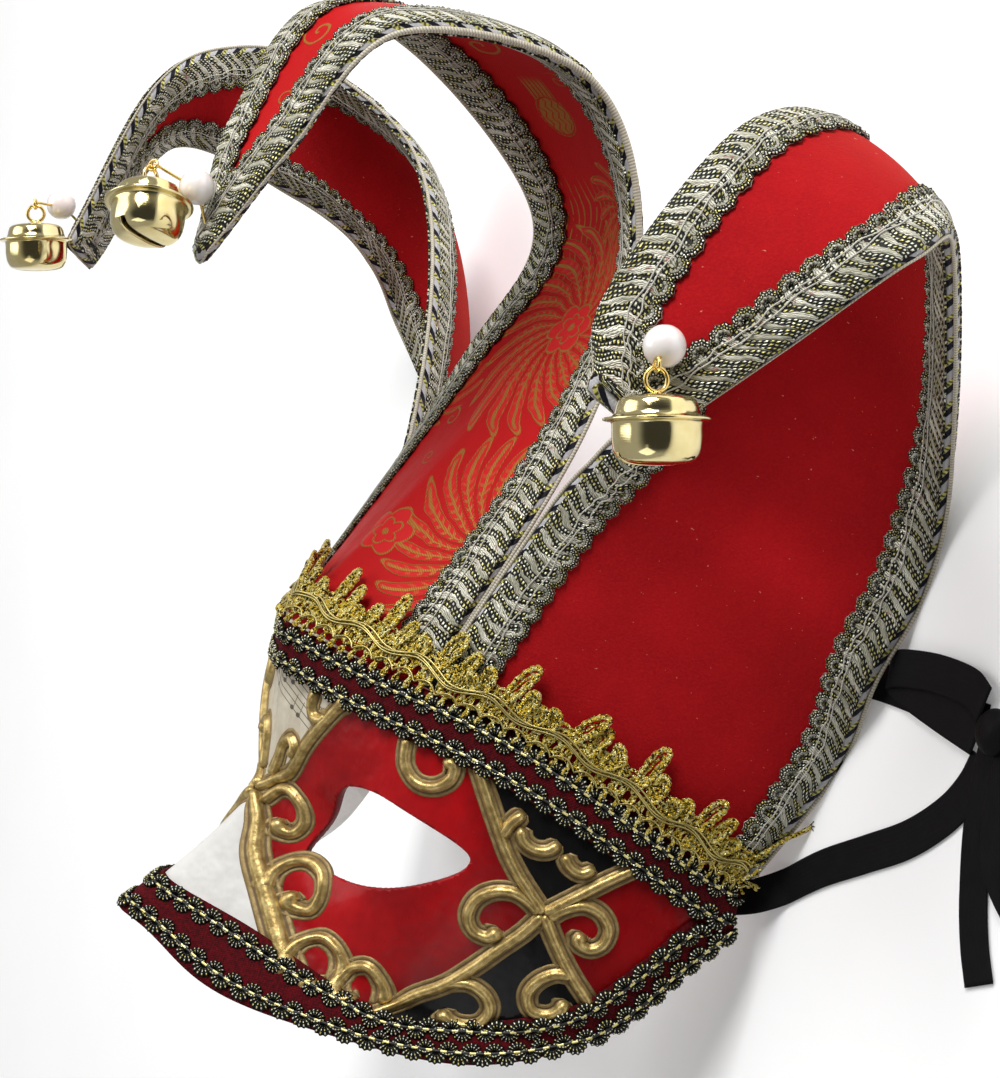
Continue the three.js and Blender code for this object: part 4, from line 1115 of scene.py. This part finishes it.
# The strip lies flat inside the cord's line and goes round the cord beyond it, thickest in the middle
# and ribbed along its rungs
def galloonPiece(name, point, side):
    low = galloonShape["footAt"]

    # a place inward from the hem, out from the middle of the cloth
    def on(a, inward, out):
        return point.at(*point.strip(a, np.full(len(a), inward), low), out)

    a = roundPoint(galloonShape["rows"], galloonShape["tipRows"])[:, None]
    atFoot, atTip = galloonShape["overCord"][side]
    over = atFoot + (atTip - atFoot) * np.clip(np.minimum(a, 3 - a), 0, 1) ** 2
    share = np.linspace(0, 1, galloonShape["columns"])
    inward = (galloonShape["width"] + over) * share - over
    cordAt, wrap = pointShape["cordOffset"], galloonShape["wrap"]
    around = np.maximum(-cordAt - inward, 0) / wrap  # its angle round the cord
    reach = np.maximum(inward, -cordAt) - wrap * np.sin(around)
    s, q = point.strip(a, reach, low)
    far = lengths(on(a[:, 0], 3.5, side * 2.0))[:, None]
    ribs = np.abs(np.sin(math.pi * (far + 0.9 * np.sin(0.42 * inward)) / galloonShape["rung"] + 1.0))
    crown = np.sin(math.pi * np.clip(share, 0.02, 0.98)) ** 0.45
    top = galloonShape["low"] + (galloonShape["high"] - galloonShape["low"]) * crown * (0.78 + 0.22 * ribs)
    top = np.where(around > 0, wrap * np.cos(around) * (0.93 + 0.07 * ribs), top)
    backing = np.where(around > 0, (wrap - galloonShape["backing"]) * np.cos(around), galloonShape["low"])
    places = mapOf(far, inward)
    made = [slab(name, point.at(s, q, side * top), point.at(s, q, side * backing), places, rungCord)]

    shellAt, pitch = galloonShape["shellAt"], galloonShape["shellPitch"]
    lift = side * galloonShape["shellLift"]
    distance = lengths(on(a[:, 0], shellAt, lift))
    u = np.interp(np.arange(0.6 * pitch, distance[-1], pitch), distance, a[:, 0])
    u = u[np.abs(u - 1.5) > 0.52]  # none at the tip
    origins = on(u, shellAt, lift)
    along = unit(on(u + 0.002, shellAt, lift) - on(u - 0.002, shellAt, lift))
    outward = point.normal(*point.strip(u, np.full(len(u), shellAt), low)) * side
    inwards = squared(on(u, shellAt + 1, lift) - origins, along)
    hand = np.sign((np.cross(along, inwards) * outward).sum(-1, keepdims=True))
    shape, petals = fanShape(galloonShape["shell"], galloonShape["shellPetals"], galloonShape["shellRise"])
    made.append(stamped("shells", shape, petals, shellCord, origins, along * hand, inwards, outward))

    fine = roundPoint(galloonShape["threadPoints"], galloonShape["threadTip"])
    for inward, wave in galloonShape["threads"]:
        reach = inward + 0.35 * np.sin(fine * wave * 40) + 0.2 * np.sin(fine * wave * 93)
        above = side * (galloonShape["high"] + galloonShape["threadLift"])
        thread = point.at(*point.strip(fine, reach, low), above)
        made.append(wire("thread", thread, galloonShape["threadRadius"], whiteThread, 4))
    return join(name, made)


# The twisted cord round a point's rim: strands of white, navy and gold, its section lobed by them and
# turning once in every pitch, and outside it a wrapped piping, whose radius is given at four places
# between the foot and the tip
cordShape = {"radius": 1.45, "pitch": 13.0, "strands": 6, "low": 0.008, "points": 300, "step": 0.75,
             "sides": 15, "tipReach": (1.35, 1.1, 1.35), "pipingAt": (0.3, 0.5, 0.7, 0.85),
             "piping": {"centre": (0.5, 0.9, 0.9, 0.3), "left": (0.5, 0.5, 0.4, 0.2),
                        "right": (0.5, 0.5, 0.5, 0.3)}}
# groove here is the piping's painted shade between its turns
cordPaint = {"white": (0.66, 0.65, 0.66), "grey": (0.34, 0.33, 0.34), "navy": (0.004, 0.004, 0.010),
             "gilt": (0.70, 0.64, 0.17), "deepGilt": (0.10, 0.09, 0.015), "piping": (0.66, 0.61, 0.51),
             "wornPiping": (0.36, 0.32, 0.25), "groove": (0.30, 0.27, 0.20)}
threadUp = (0.31, 0.42, 0.85)  # a way that neither the piping nor the lace's threads run along


# Three colours in turn round the section, each wound along by the pitch
def paintTwist(where, places):
    along, around, _ = axes(places)
    share = cycle((around - along / cordShape["pitch"]) * (cordShape["strands"] / 3))
    navy = smooth(share, 0.38, 0.41) * smooth(share, 0.74, 0.71)
    gilt = smooth(share, 0.74, 0.76) * smooth(share, 1.0, 0.98)
    hair = sine((around - along / cordShape["pitch"] * 1.3) * 190.0)
    white = tint(smooth(hair, -0.7, 0.5), cordPaint["grey"], cordPaint["white"])
    color = tint(navy, white, cordPaint["navy"])
    fleck = smooth(sine(along * 5.3 + around * 9.0), -0.5, 0.3)
    color = tint(gilt, color, tint(fleck, cordPaint["deepGilt"], cordPaint["gilt"]))
    return {"Base Color": color, "Metallic": gilt * fleck * 0.5, "Roughness": 0.45 - gilt * 0.1,
            "height": hair * 0.05}


# Piping wrapped with fine thread, each turn of it a ridge, with painted shade in the groove between the turns
def paintPiping(where, places):
    along, around, _ = axes(places)
    wraps = sine(along * 8.5 + around * 0.8)
    worn = noise(where, 0.35, 3.0)
    thread = tint(worn, cordPaint["wornPiping"], cordPaint["piping"])
    # the groove colour between the turns is painted shade
    return {"Base Color": tint(smooth(wraps, -0.8, 0.2), cordPaint["groove"], thread), "Roughness": 0.6,
            "height": wraps * 0.03}


# White thread, mottled by a noise
def paintThread(where, places):
    return {"Base Color": tint(noise(where, 0.3), galloonPaint["dullThread"], galloonPaint["thread"])}


twist = material("twistedCord", paintTwist, **{"Specular IOR Level": 0.2})
piping = material("wrappedPiping", paintPiping, **{"Specular IOR Level": 0.2})
whiteThread = material("whiteThread", paintThread, Roughness=0.6)


# The cord up beside one hem, round the tip and down the other, and the piping outside it
def edgeCordPiece(name, kind, point):
    offset = pointShape["cordOffset"]
    rise = np.linspace(cordShape["low"], 1, cordShape["points"])

    # the cord's line, its way out from the cloth's edge and the cloth's normal
    def beside(s, q):
        outward = point.across(s, q) * (2 * q - 1)[..., None]
        return point.middle(s, q) + outward * offset, outward, point.normal(s, q)

    up = beside(rise, np.zeros(len(rise)))
    down = beside(rise[::-1], np.ones(len(rise)))
    q = np.array([0.0, 0.5, 1.0])
    atTip = np.ones(len(q))
    corners = point.middle(atTip, q)
    onward = unit(corners[1] - point.middle(atTip * 0.98, q)[1])
    outs = unit(point.across(atTip, q) * (2 * q - 1)[:, None] + onward)
    knots = corners + outs * np.array(cordShape["tipReach"])[:, None] * offset
    rough = [np.vstack(parts) for parts in zip(up, (knots, outs, point.normal(atTip, q)), down)]
    far = lengths(rough[0])
    even = np.linspace(0, far[-1], int(far[-1] / cordShape["step"]))
    line, ways, ups = (np.stack([np.interp(even, far, part[:, n]) for n in range(3)], -1) for part in rough)
    run = unit(np.gradient(line, axis=0))
    ways = squared(ways, run)
    ups = np.cross(run, ways) * np.sign((np.cross(run, ways) * ups).sum(-1, keepdims=True))
    sides = cordShape["sides"]
    turn = np.arange(sides) / sides
    swirl = (turn - even[:, None] / cordShape["pitch"]) * math.pi * cordShape["strands"]
    r = cordShape["radius"] * (0.82 + 0.2 * np.abs(np.cos(swirl)) ** 0.7)
    section = np.stack([r * np.cos(2 * math.pi * turn), r * np.sin(2 * math.pi * turn)], -1)
    places = mapOf(even[:, None], np.linspace(0, 1, sides + 1))
    upPoint = 1 - np.abs(2 * even / even[-1] - 1)
    thick = np.interp(upPoint, cordShape["pipingAt"], cordShape["piping"][kind])
    wrapped = line + ways * (cordShape["radius"] + thick * 0.8)[:, None]
    return join(name, [closedLoft(name, carried(line, section, ways, ups), places, twist),
                       wire("piping", wrapped, thick, piping, 6, threadUp)])


for name, point in points.items():
    piece(galloonPiece(name + "FrontBraid", point, 1), "galloon", name + "_front_braid")
    piece(galloonPiece(name + "BackBraid", point, -1), "galloon", name + "_back_braid")
    piece(edgeCordPiece(name + "EdgeCord", name, point), "twisted_cord", name + "_edge_cord")
print("galloon and edge cords made")


# The gold lace along the foot of the points: rows of looped thread, a net of crimped thread, smooth
# cords that wave through it, and groups of four upright loops.
# rows: height, half its height, pitch, overlap and radius; net: phase and length of a wave;
# cords: how far above waveAt, and its lag; loops: place in the group, height, half its width and lean
laceShape = {"end": 127, "out": 3.3, "steps": 760,
             "rows": ((0.2, 1.8, 3.0, 1.25, 0.46), (3.4, 1.5, 2.6, 1.35, 0.4),
                      (6.2, 1.7, 3.3, 1.3, 0.42), (8.0, 1.1, 2.9, 1.5, 0.4)),
             "net": ((0.0, 4.7), (2.1, 4.3), (4.2, 5.1)), "netAt": 4.6, "netSwing": 3.3, "netThread": 0.352,
             "cords": ((-0.45, 0.0), (0.1, 0.2), (0.7, -0.3)), "wave": 17.0, "swing": 1.05, "waveAt": 5.0,
             "cord": 0.26, "scallop": 5.6, "scallopCord": 0.22, "group": 16.3, "loopFoot": 5.5,
             "loops": ((-5.6, 6.0, 1.45, -0.6), (-0.6, 11.0, 1.6, 1.8),
                       (3.9, 7.4, 1.4, 1.2), (8.0, 4.2, 1.6, 0.4)),
             "loopPoints": 48, "loopThread": 0.66, "innerThread": 0.4}
# dark and bright are the tinsel's painted shade and painted glints
lacePaint = {"gold": (0.74, 0.53, 0.05), "bright": (1.0, 0.92, 0.42), "dark": (0.05, 0.025, 0.002),
             "cord": (0.58, 0.48, 0.17), "groove": (0.12, 0.07, 0.01), "facet": 2.3}


# A place u round the face and h millimetres above the points' foot, on the middle point's cloth or a
# side one's, and between the two part of the way from one to the other
def crownAt(u, h, out):
    u, h, out = np.broadcast_arrays(np.asarray(u, float), np.asarray(h, float), np.asarray(out, float))
    low, high = points["centre"].baseAt[1], points["left"].baseAt[0]
    span = points["left"].baseAt[1] - high
    share = np.clip((np.abs(u) - high) / span, 0, 1)
    part = np.clip((np.abs(u) - low) / (high - low), 0, 1)[..., None]

    def above(height):
        middle = points["centre"].above(height, np.clip((u + low) / (2 * low), 0, 1), out)
        left, right = points["left"].above(height, share, out), points["right"].above(height, share, out)
        return middle * (1 - part) + np.where(u[..., None] > 0, left, right) * part

    onwards = above(np.ones_like(h)) - above(np.zeros_like(h))
    return above(np.maximum(h, 0)) + onwards * np.minimum(h, 0)[..., None]


# Crimped tinsel thread: gold, with random cells painted dark as painted shade and others painted bright as
# painted glints
def paintTinsel(where, places):
    fleck, level, _ = axes(cells(where, lacePaint["facet"], 1))
    depth = cells(where, lacePaint["facet"])
    # painted shade in the dark cells, painted glints in the bright ones
    color = tint(smooth(fleck, 0.22, 0.50), lacePaint["dark"], lacePaint["gold"])
    color = tint(smooth(level, 0.66, 0.74), color, lacePaint["bright"])
    return {"Base Color": color, "Metallic": 0.6, "Roughness": 0.25 + fleck * 0.25, "height": depth * -0.9}


# Smooth gold cord of two plies, with painted shade in the groove between them
def paintLaceCord(where, places):
    _, around, _ = axes(places)
    ply = abs(sine(around * 2.2))
    # the groove colour between the plies is painted shade
    return {"Base Color": tint(smooth(ply, 0.1, 0.45), lacePaint["groove"], lacePaint["cord"]),
            "Metallic": 0.75, "Roughness": 0.33 + noise(where, 0.8) * 0.1, "height": ply * 0.2}


tinsel = material("goldTinsel", paintTinsel)
laceCord = material("laceCord", paintLaceCord)


# A thread through places given as lines of (u, h, out)
def laceThread(name, u, h, out, radius, paint, sides):
    return wire(name, crownAt(u, h, out), radius, paint, sides, threadUp)


def crownLace():
    end, out, foot = laceShape["end"], laceShape["out"], laceShape["loopFoot"]
    made = []
    for at, high, pitch, turns, radius in laceShape["rows"]:
        angle = np.linspace(0, 2 * math.pi * 2 * end / pitch, int(2 * end / pitch * 11))
        u = -end + angle * pitch / (2 * math.pi) - turns * np.sin(angle) * pitch / math.pi * 0.8
        made.append(laceThread("loops", np.clip(u, -end - 1, end + 1), at - high * np.cos(angle),
                               out + 0.25 * np.sin(2 * angle + at), radius, tinsel, 5))
    along = np.linspace(-end, end, laceShape["steps"])
    for phase, length in laceShape["net"]:
        h = laceShape["netAt"] + laceShape["netSwing"] * np.sin(2 * math.pi * along / length + phase)
        outs = out + 0.1 * np.cos(along * 2.6 + phase)
        made.append(laceThread("net", along, h, outs, laceShape["netThread"], tinsel, 5))
    wave = 2 * math.pi * along / laceShape["wave"]
    for shift, lag in laceShape["cords"]:
        h = laceShape["waveAt"] + shift + laceShape["swing"] * np.sin(wave + lag)
        outs = out + 0.8 + 0.15 * np.cos(wave * 1.7 + shift)
        made.append(laceThread("cord", along, h, outs, laceShape["cord"], laceCord, 5))
    scallop = np.abs(np.sin(math.pi * along / laceShape["scallop"]))
    h = 0.4 + 1.9 * scallop ** 0.7
    made.append(laceThread("scallops", along, h, out + 0.6, laceShape["scallopCord"], laceCord, 5))

    centres = np.arange(-end + 6.6, end - 4, laceShape["group"])
    wander = np.sin(centres * 1.7) * 0.9
    turn = np.linspace(0, 2 * math.pi, laceShape["loopPoints"])
    rise = (1 - np.cos(turn)) / 2
    few = slice(None, None, 2)
    for offset, high, half, lean in laceShape["loops"]:
        tall = high * (1 + 0.1 * np.sin(centres * 2.9 + offset))[:, None]
        width = half * np.sin(turn) * (0.55 + 0.45 * rise) * 1.15
        tilt = lean + wander[:, None] + 1.1 * np.sin(centres * 4.3 + offset * 2)[:, None]
        kink = 0.16 * np.sin(turn * 15 + offset)
        u = centres[:, None] + offset + width + tilt * rise ** 1.3 + kink
        forward = (1 + 0.6 * np.sin(centres * 3.7 + offset))[:, None]
        outs = out + 0.35 * np.sin(turn) + 1.3 * rise ** 2 * forward
        made.append(laceThread("upright", u, foot + tall * rise, outs, laceShape["loopThread"], tinsel, 6))
        # and a narrower loop inside it, of every second point
        inner = (centres[:, None] + offset + width * 0.35 + tilt * rise ** 1.3 - kink)[:, few]
        made.append(laceThread("inner", inner, foot + (tall * 0.86 * rise)[:, few], outs[:, few] - 0.2,
                               laceShape["innerThread"], tinsel, 5))
    return made


# The end by the near temple has frayed: loose threads, the first of them long, doubled and tufted,
# out over the ribbon. ways is how far each runs from its root.
frayShape = {"ways": ((5.4, 12.9, -12.4), (1.8, 2.6, -5.0), (-0.6, -0.8, -5.6), (1.5, -2.4, -4.6),
                      (-1.2, -4.0, -3.4), (2.6, 4.6, -3.6), (0.3, 0.7, -6.4)),
             "tuft": ((2.0, 0.6, -0.3), (1.2, 1.6, 0.2), (1.9, -0.4, -0.8)),
             "points": 30, "long": 0.55, "twin": 0.36, "loose": 0.34, "tuftThread": 0.14}


def frayedEnd():
    root = crownAt(laceShape["end"] - 1.5, 4.0, laceShape["out"])
    share = np.linspace(0, 1, frayShape["points"])[:, None]
    bowed = share * (1 - share)
    made = []
    for k, way in enumerate(np.array(frayShape["ways"])):
        wobble = np.sin(share * (9 + k) + k) * 0.5 * share
        foot = root + np.array([0.0, -0.9 * (k - 2), 0.1 * k])
        line = foot + way * share + wobble * np.array([1.0, -0.4, 0.6]) + np.array([0.5, 0.4, 1.6]) * bowed
        made.append(wire("loose", line, frayShape["loose"] if k else frayShape["long"], tinsel, 6))
        if k == 0:
            twin = foot + way * 0.9 * share + np.cos(share * 26) * 0.42 + np.array([0.5, 0.4, 1.7]) * bowed
            made.append(wire("loose", twin, frayShape["twin"], tinsel, 6))
            tuft = line[-1] + np.array(frayShape["tuft"])[:, None] * share - 0.6
            made.append(wire("tuft", tuft, frayShape["tuftThread"], tinsel, 5))
    return made


piece(join("crownLace", crownLace() + frayedEnd()), "gold_lace", "crown_lace")
print("crown lace made")


# The pearls and bells: pearl is the pearl's middle, bell the bell's, up the way to the bell's wire
# loop, and slit how far its slit is turned round that, in degrees
hangings = {
    "centre": {"pearl": (1, 138.5, 135), "bell": (4.7, 131, 146.2), "up": (-0.48, 0.87, -0.07), "slit": 115},
    "left": {"pearl": (141.2, 134.9, 92.9), "bell": (149, 120.6, 95), "up": (-0.25, 0.96, 0.13), "slit": 80},
    "right": {"pearl": (-128.2, 119.9, 125), "bell": (-120.5, 107.8, 131.8), "up": (-0.22, 0.96, 0.16),
              "slit": 60},
}
# outer and base are [radius, height]; the outside has a raised seam, and the base holds the slit
bellShape = {"outer": [[0, 6.4], [4.2, 6.35], [6.9, 5.7], [7.4, 4.4], [7.7, 2.9], [8.3, 2.35], [9.75, 2.2],
                       [9.9, 1.9], [9.75, 1.6], [8.4, 1.45], [8.2, 0.9], [8.25, -1.6], [8.0, -3.4]],
             "base": [[8.0, -3.4], [7.6, -4.7], [6.6, -5.7], [5.0, -6.15], [2.5, -6.35], [0, -6.4]],
             "wall": 0.55, "slit": (15.6, 1.7), "sides": 48, "baseRings": 12, "round": 50}
pearlShape = {"radius": 4.0, "dimple": 0.06, "rings": 40, "sides": 48, "around": (12, 25)}
wireShape = {"loop": 2.2, "wire": 0.45, "eye": 1.2, "link": 0.36, "stub": 0.8, "inPearl": 3.4, "points": 60}
bellPaint = {"brass": (0.74, 0.64, 0.34), "dullBrass": (0.66, 0.54, 0.24), "pearl": (0.73, 0.70, 0.68),
             "rose": (0.78, 0.67, 0.64), "wire": (0.72, 0.50, 0.14), "brightWire": (0.80, 0.62, 0.26)}


# Polished brass with faint turning lines and a few dull spots
def paintBrass(where, places):
    along, _, _ = axes(places)
    lines = sine(along * 23) * 0.5 + sine(along * 61) * 0.3
    dull = noise(where, 0.22, 3.0)
    return {"Base Color": tint(smooth(dull, 0.35, 0.7), bellPaint["brass"], bellPaint["dullBrass"]),
            "Metallic": 1.0, "Roughness": 0.10 + smooth(dull, 0.5, 0.8) * 0.1, "height": lines * 0.003}


# Pearl: cream with a rosy drift and a clear coat
def paintPearl(where, places):
    drift = noise(where, 0.16, 2.0)
    return {"Base Color": tint(smooth(drift, 0.3, 0.7), bellPaint["pearl"], bellPaint["rose"]),
            "Roughness": 0.28 + drift * 0.1, "height": noise(where, 0.35, 2.0) * 0.05}


# Gold wire, mottled by a noise
def paintWire(where, places):
    return {"Base Color": tint(noise(where, 0.5), bellPaint["wire"], bellPaint["brightWire"]),
            "Metallic": 1.0, "Roughness": 0.2 + noise(where, 1.1) * 0.12}


brass = material("polishedBrass", paintBrass)
pearlCoat = material("pearlCoat", paintPearl, **{
    "Coat Weight": 0.9, "Coat Roughness": 0.06, "Specular IOR Level": 0.7, "Subsurface Weight": 0.15,
    "Subsurface Scale": 0.002})
goldWire = material("goldWire", paintWire)


# A line of (radius, height) with its corners cut twice
def rounded(profile):
    line = np.array(profile, float)
    for _ in range(2):
        one, two = line[:-1], line[1:]
        cut = np.stack([one * 0.75 + two * 0.25, one * 0.25 + two * 0.75], 1).reshape(-1, 2)
        line = np.vstack([line[:1], cut[1:-1], line[-1:]])
    return line


# Three axes as rows: one to the side, up, and one to the front, turned by an angle about up
def turnedTo(up, degrees):
    up = unit(np.array(up, float))
    side = unit(np.cross(np.array([0.0, 0.0, 1.0]), up))
    front = np.cross(side, up)
    cosine, sined = math.cos(math.radians(degrees)), math.sin(math.radians(degrees))
    return np.stack([side * cosine - front * sined, up, side * sined + front * cosine])


# The bell: down the outside from the top, in from a circle to the slit's rounded edge across the base,
# and back up the inside; the base is a bowl whose height follows from how far out each point is
def bellPiece(name, at, up, slit):
    turn = np.linspace(0, 2 * math.pi, bellShape["sides"], endpoint=False) + math.pi / bellShape["sides"]
    circle = np.stack([np.cos(turn), np.sin(turn)], -1)
    half, narrow = bellShape["slit"][0] / 2, bellShape["slit"][1] / 2
    aside = np.abs(circle[:, 0])
    reach = np.sign(circle[:, 0]) * np.minimum(aside * half * 1.02, half - narrow)
    reach = reach + narrow * circle[:, 0] * (aside > 0.9)
    roundEnd = np.minimum(1, np.sqrt(np.maximum(0, 1 - (np.maximum(aside - 0.9, 0) / 0.1) ** 2)))
    edge = np.stack([reach, narrow * np.sign(circle[:, 1]) * roundEnd], -1)
    outer, base = rounded(bellShape["outer"]), rounded(bellShape["base"])
    rows = []
    for inset in (0, bellShape["wall"]):
        bowl = base - inset * np.array([1, -0.9])
        level = outer[:, 1] - inset * np.sign(outer[:, 1] + 3.4)
        side = np.stack([np.maximum(outer[:, 0] - inset, 0), level], -1)
        if inset:
            side = side[side[:, 0] < 7.8]  # the seam is raised outside only
        wall = [np.stack([circle[:, 0] * r, np.full(len(turn), y), circle[:, 1] * r], -1) for r, y in side]
        for share in np.linspace(0, 1, bellShape["baseRings"])[1:]:
            flat = circle * bowl[0, 0] * (1 - share) + edge * share
            r = np.hypot(flat[:, 0], flat[:, 1])
            height = np.interp(r, bowl[::-1, 0], bowl[::-1, 1])
            wall.append(np.stack([flat[:, 0], height, flat[:, 1]], -1))
        rows += wall if not inset else wall[::-1]
    rings = np.stack(rows) @ turnedTo(up, slit) + np.array(at, float)
    far = lengths(rings[:, 0])
    around = np.linspace(0, bellShape["round"], len(turn) + 1)
    places = mapOf(far[:, None], around)
    return closedLoft(name, rings, places, brass)


# A ball with a hole's dimple at each end of its own wire
def pearlPiece(name, at, up):
    rings, sides = pearlShape["rings"], pearlShape["sides"]
    lie = np.linspace(0.02, math.pi - 0.02, rings)[:, None]
    turn = np.arange(sides) * 2 * math.pi / sides
    r = pearlShape["radius"] * (1 - pearlShape["dimple"] * bump(np.minimum(lie, math.pi - lie), 0.16))
    x, y, z = r * np.sin(lie) * np.cos(turn), r * np.cos(lie), r * np.sin(lie) * np.sin(turn)
    ball = np.stack(np.broadcast_arrays(x, y, z), -1) @ turnedTo(up, 0) + np.array(at, float)
    return closedLoft(name, ball, ballMap(rings, sides, *pearlShape["around"]), pearlCoat)


# The loop on the bell with its stub, and the wire from the cloth's tip through the pearl to an eye
# round the loop
def loopPiece(name, hanging, tip):
    side, up, front = turnedTo(hanging["up"], hanging["slit"])
    radius, inPearl, thin = wireShape["loop"], wireShape["inPearl"], wireShape["link"]
    ring = np.linspace(0, 2.06 * math.pi, wireShape["points"])[:, None]
    middle = np.array(hanging["bell"], float) + up * (bellShape["outer"][0][1] + radius + wireShape["wire"])
    loop = middle + radius * (np.sin(ring) * side + np.cos(ring) * up) + front * 0.1 * ring
    pearl = np.array(hanging["pearl"], float)
    top = middle + up * radius
    eye = top + up * 0.4 + wireShape["eye"] * (np.cos(ring + 2.2) * front + np.sin(ring + 2.2) * up)
    before, after = pearl - unit(pearl - tip) * inPearl, pearl + unit(top - pearl) * inPearl
    link = evenLine([tip, before, pearl, after, top + up * 0.9], 0.5)
    stub = middle - up * np.linspace(radius + 1.2, radius - 0.3, 8)[:, None]
    return join(name, [wire("loop", loop, wireShape["wire"], goldWire, 10),
                       wire("eye", eye, thin, goldWire, 10), wire("link", link, thin, goldWire, 10),
                       wire("stub", stub, wireShape["stub"], goldWire, 12)])


for name, hanging in hangings.items():
    tip = points[name].middle(np.array(0.99), np.array(0.5))
    piece(pearlPiece(name + "Pearl", hanging["pearl"], hanging["up"]), "pearl", name + "_pearl")
    bell = bellPiece(name + "Bell", hanging["bell"], hanging["up"], hanging["slit"])
    piece(bell, "bell_metal", name + "_bell")
    piece(loopPiece(name + "WireLoop", hanging, tip), "bell_metal", name + "_wire_loop")
print("pearls and bells made")


# The floor and the light: half is the floor's half width and drop how far it lies below the mask, in
# metres; behindCamera is the part of the sky's light that comes from behind the camera
stageLook = {"floor": (0.84, 0.84, 0.84), "floorMottle": (0.88, 0.88, 0.88), "half": 4, "drop": 0.0002,
             "sky": (1.0, 1.0, 1.0), "skyStrength": 0.42, "behindCamera": 0.12, "glow": 0.12}
# place, power in watts and size of each light, all aimed at `target`
lights = {"backLight": ((0.2, 1.05, 0.8), 21, 0.6), "topLight": ((-0.45, 0.15, 1.1), 5, 0.8),
          "fillLight": ((0.7, -0.75, 0.75), 1.4, 0.6)}
target = np.array([0, 0, 0.06])


# Paper with a faint mottle
def paintFloor(where, places):
    return {"Base Color": tint(noise(where, 0.02), stageLook["floor"], stageLook["floorMottle"])}


half, down = stageLook["half"], -stageLook["drop"]
floorMesh = bpy.data.meshes.new("floor")
floorMesh.from_pydata([(-half, -half, down), (half, -half, down), (half, half, down), (-half, half, down)],
                      [], [(0, 1, 2, 3)])
floor = bpy.data.objects.new("floor", floorMesh)
bpy.context.scene.collection.objects.link(floor)
floorMesh.materials.append(material("palePaper", paintFloor, Roughness=0.8, **{
    "Emission Color": (1.0, 1.0, 1.0), "Emission Strength": stageLook["glow"]}))

world = bpy.data.worlds.new("studio")
world.use_nodes = True
background = world.node_tree.nodes["Background"]
background.inputs[0].default_value = (*stageLook["sky"], 1)
around = Socket(world.node_tree).node("TexCoord")
toward = around.node("VectorMath", {"operation": "DOT_PRODUCT"}, {0: around, 1: cameraAt["back"]}, 1)
strength = stageLook["skyStrength"] * (1 - smooth(toward, 0.5, 0.85) * (1 - stageLook["behindCamera"]))
world.node_tree.links.new(strength.link, background.inputs[1])
bpy.context.scene.world = world


# A soft square light at a place, looking at the mask
def light(name, place, power, size):
    data = bpy.data.lights.new(name, "AREA")
    data.energy = power
    data.size = size
    made = bpy.data.objects.new(name, data)
    bpy.context.scene.collection.objects.link(made)
    aim = unit(np.array(place, float) - target)
    side = unit(np.cross(np.array([0, 0.1, 1.0]), aim))
    way = Matrix(np.stack([side, np.cross(aim, side), aim], 1).tolist()).to_4x4()
    way.translation = place
    made.matrix_world = way


for name, (place, power, size) in lights.items():
    light(name, place, power, size)
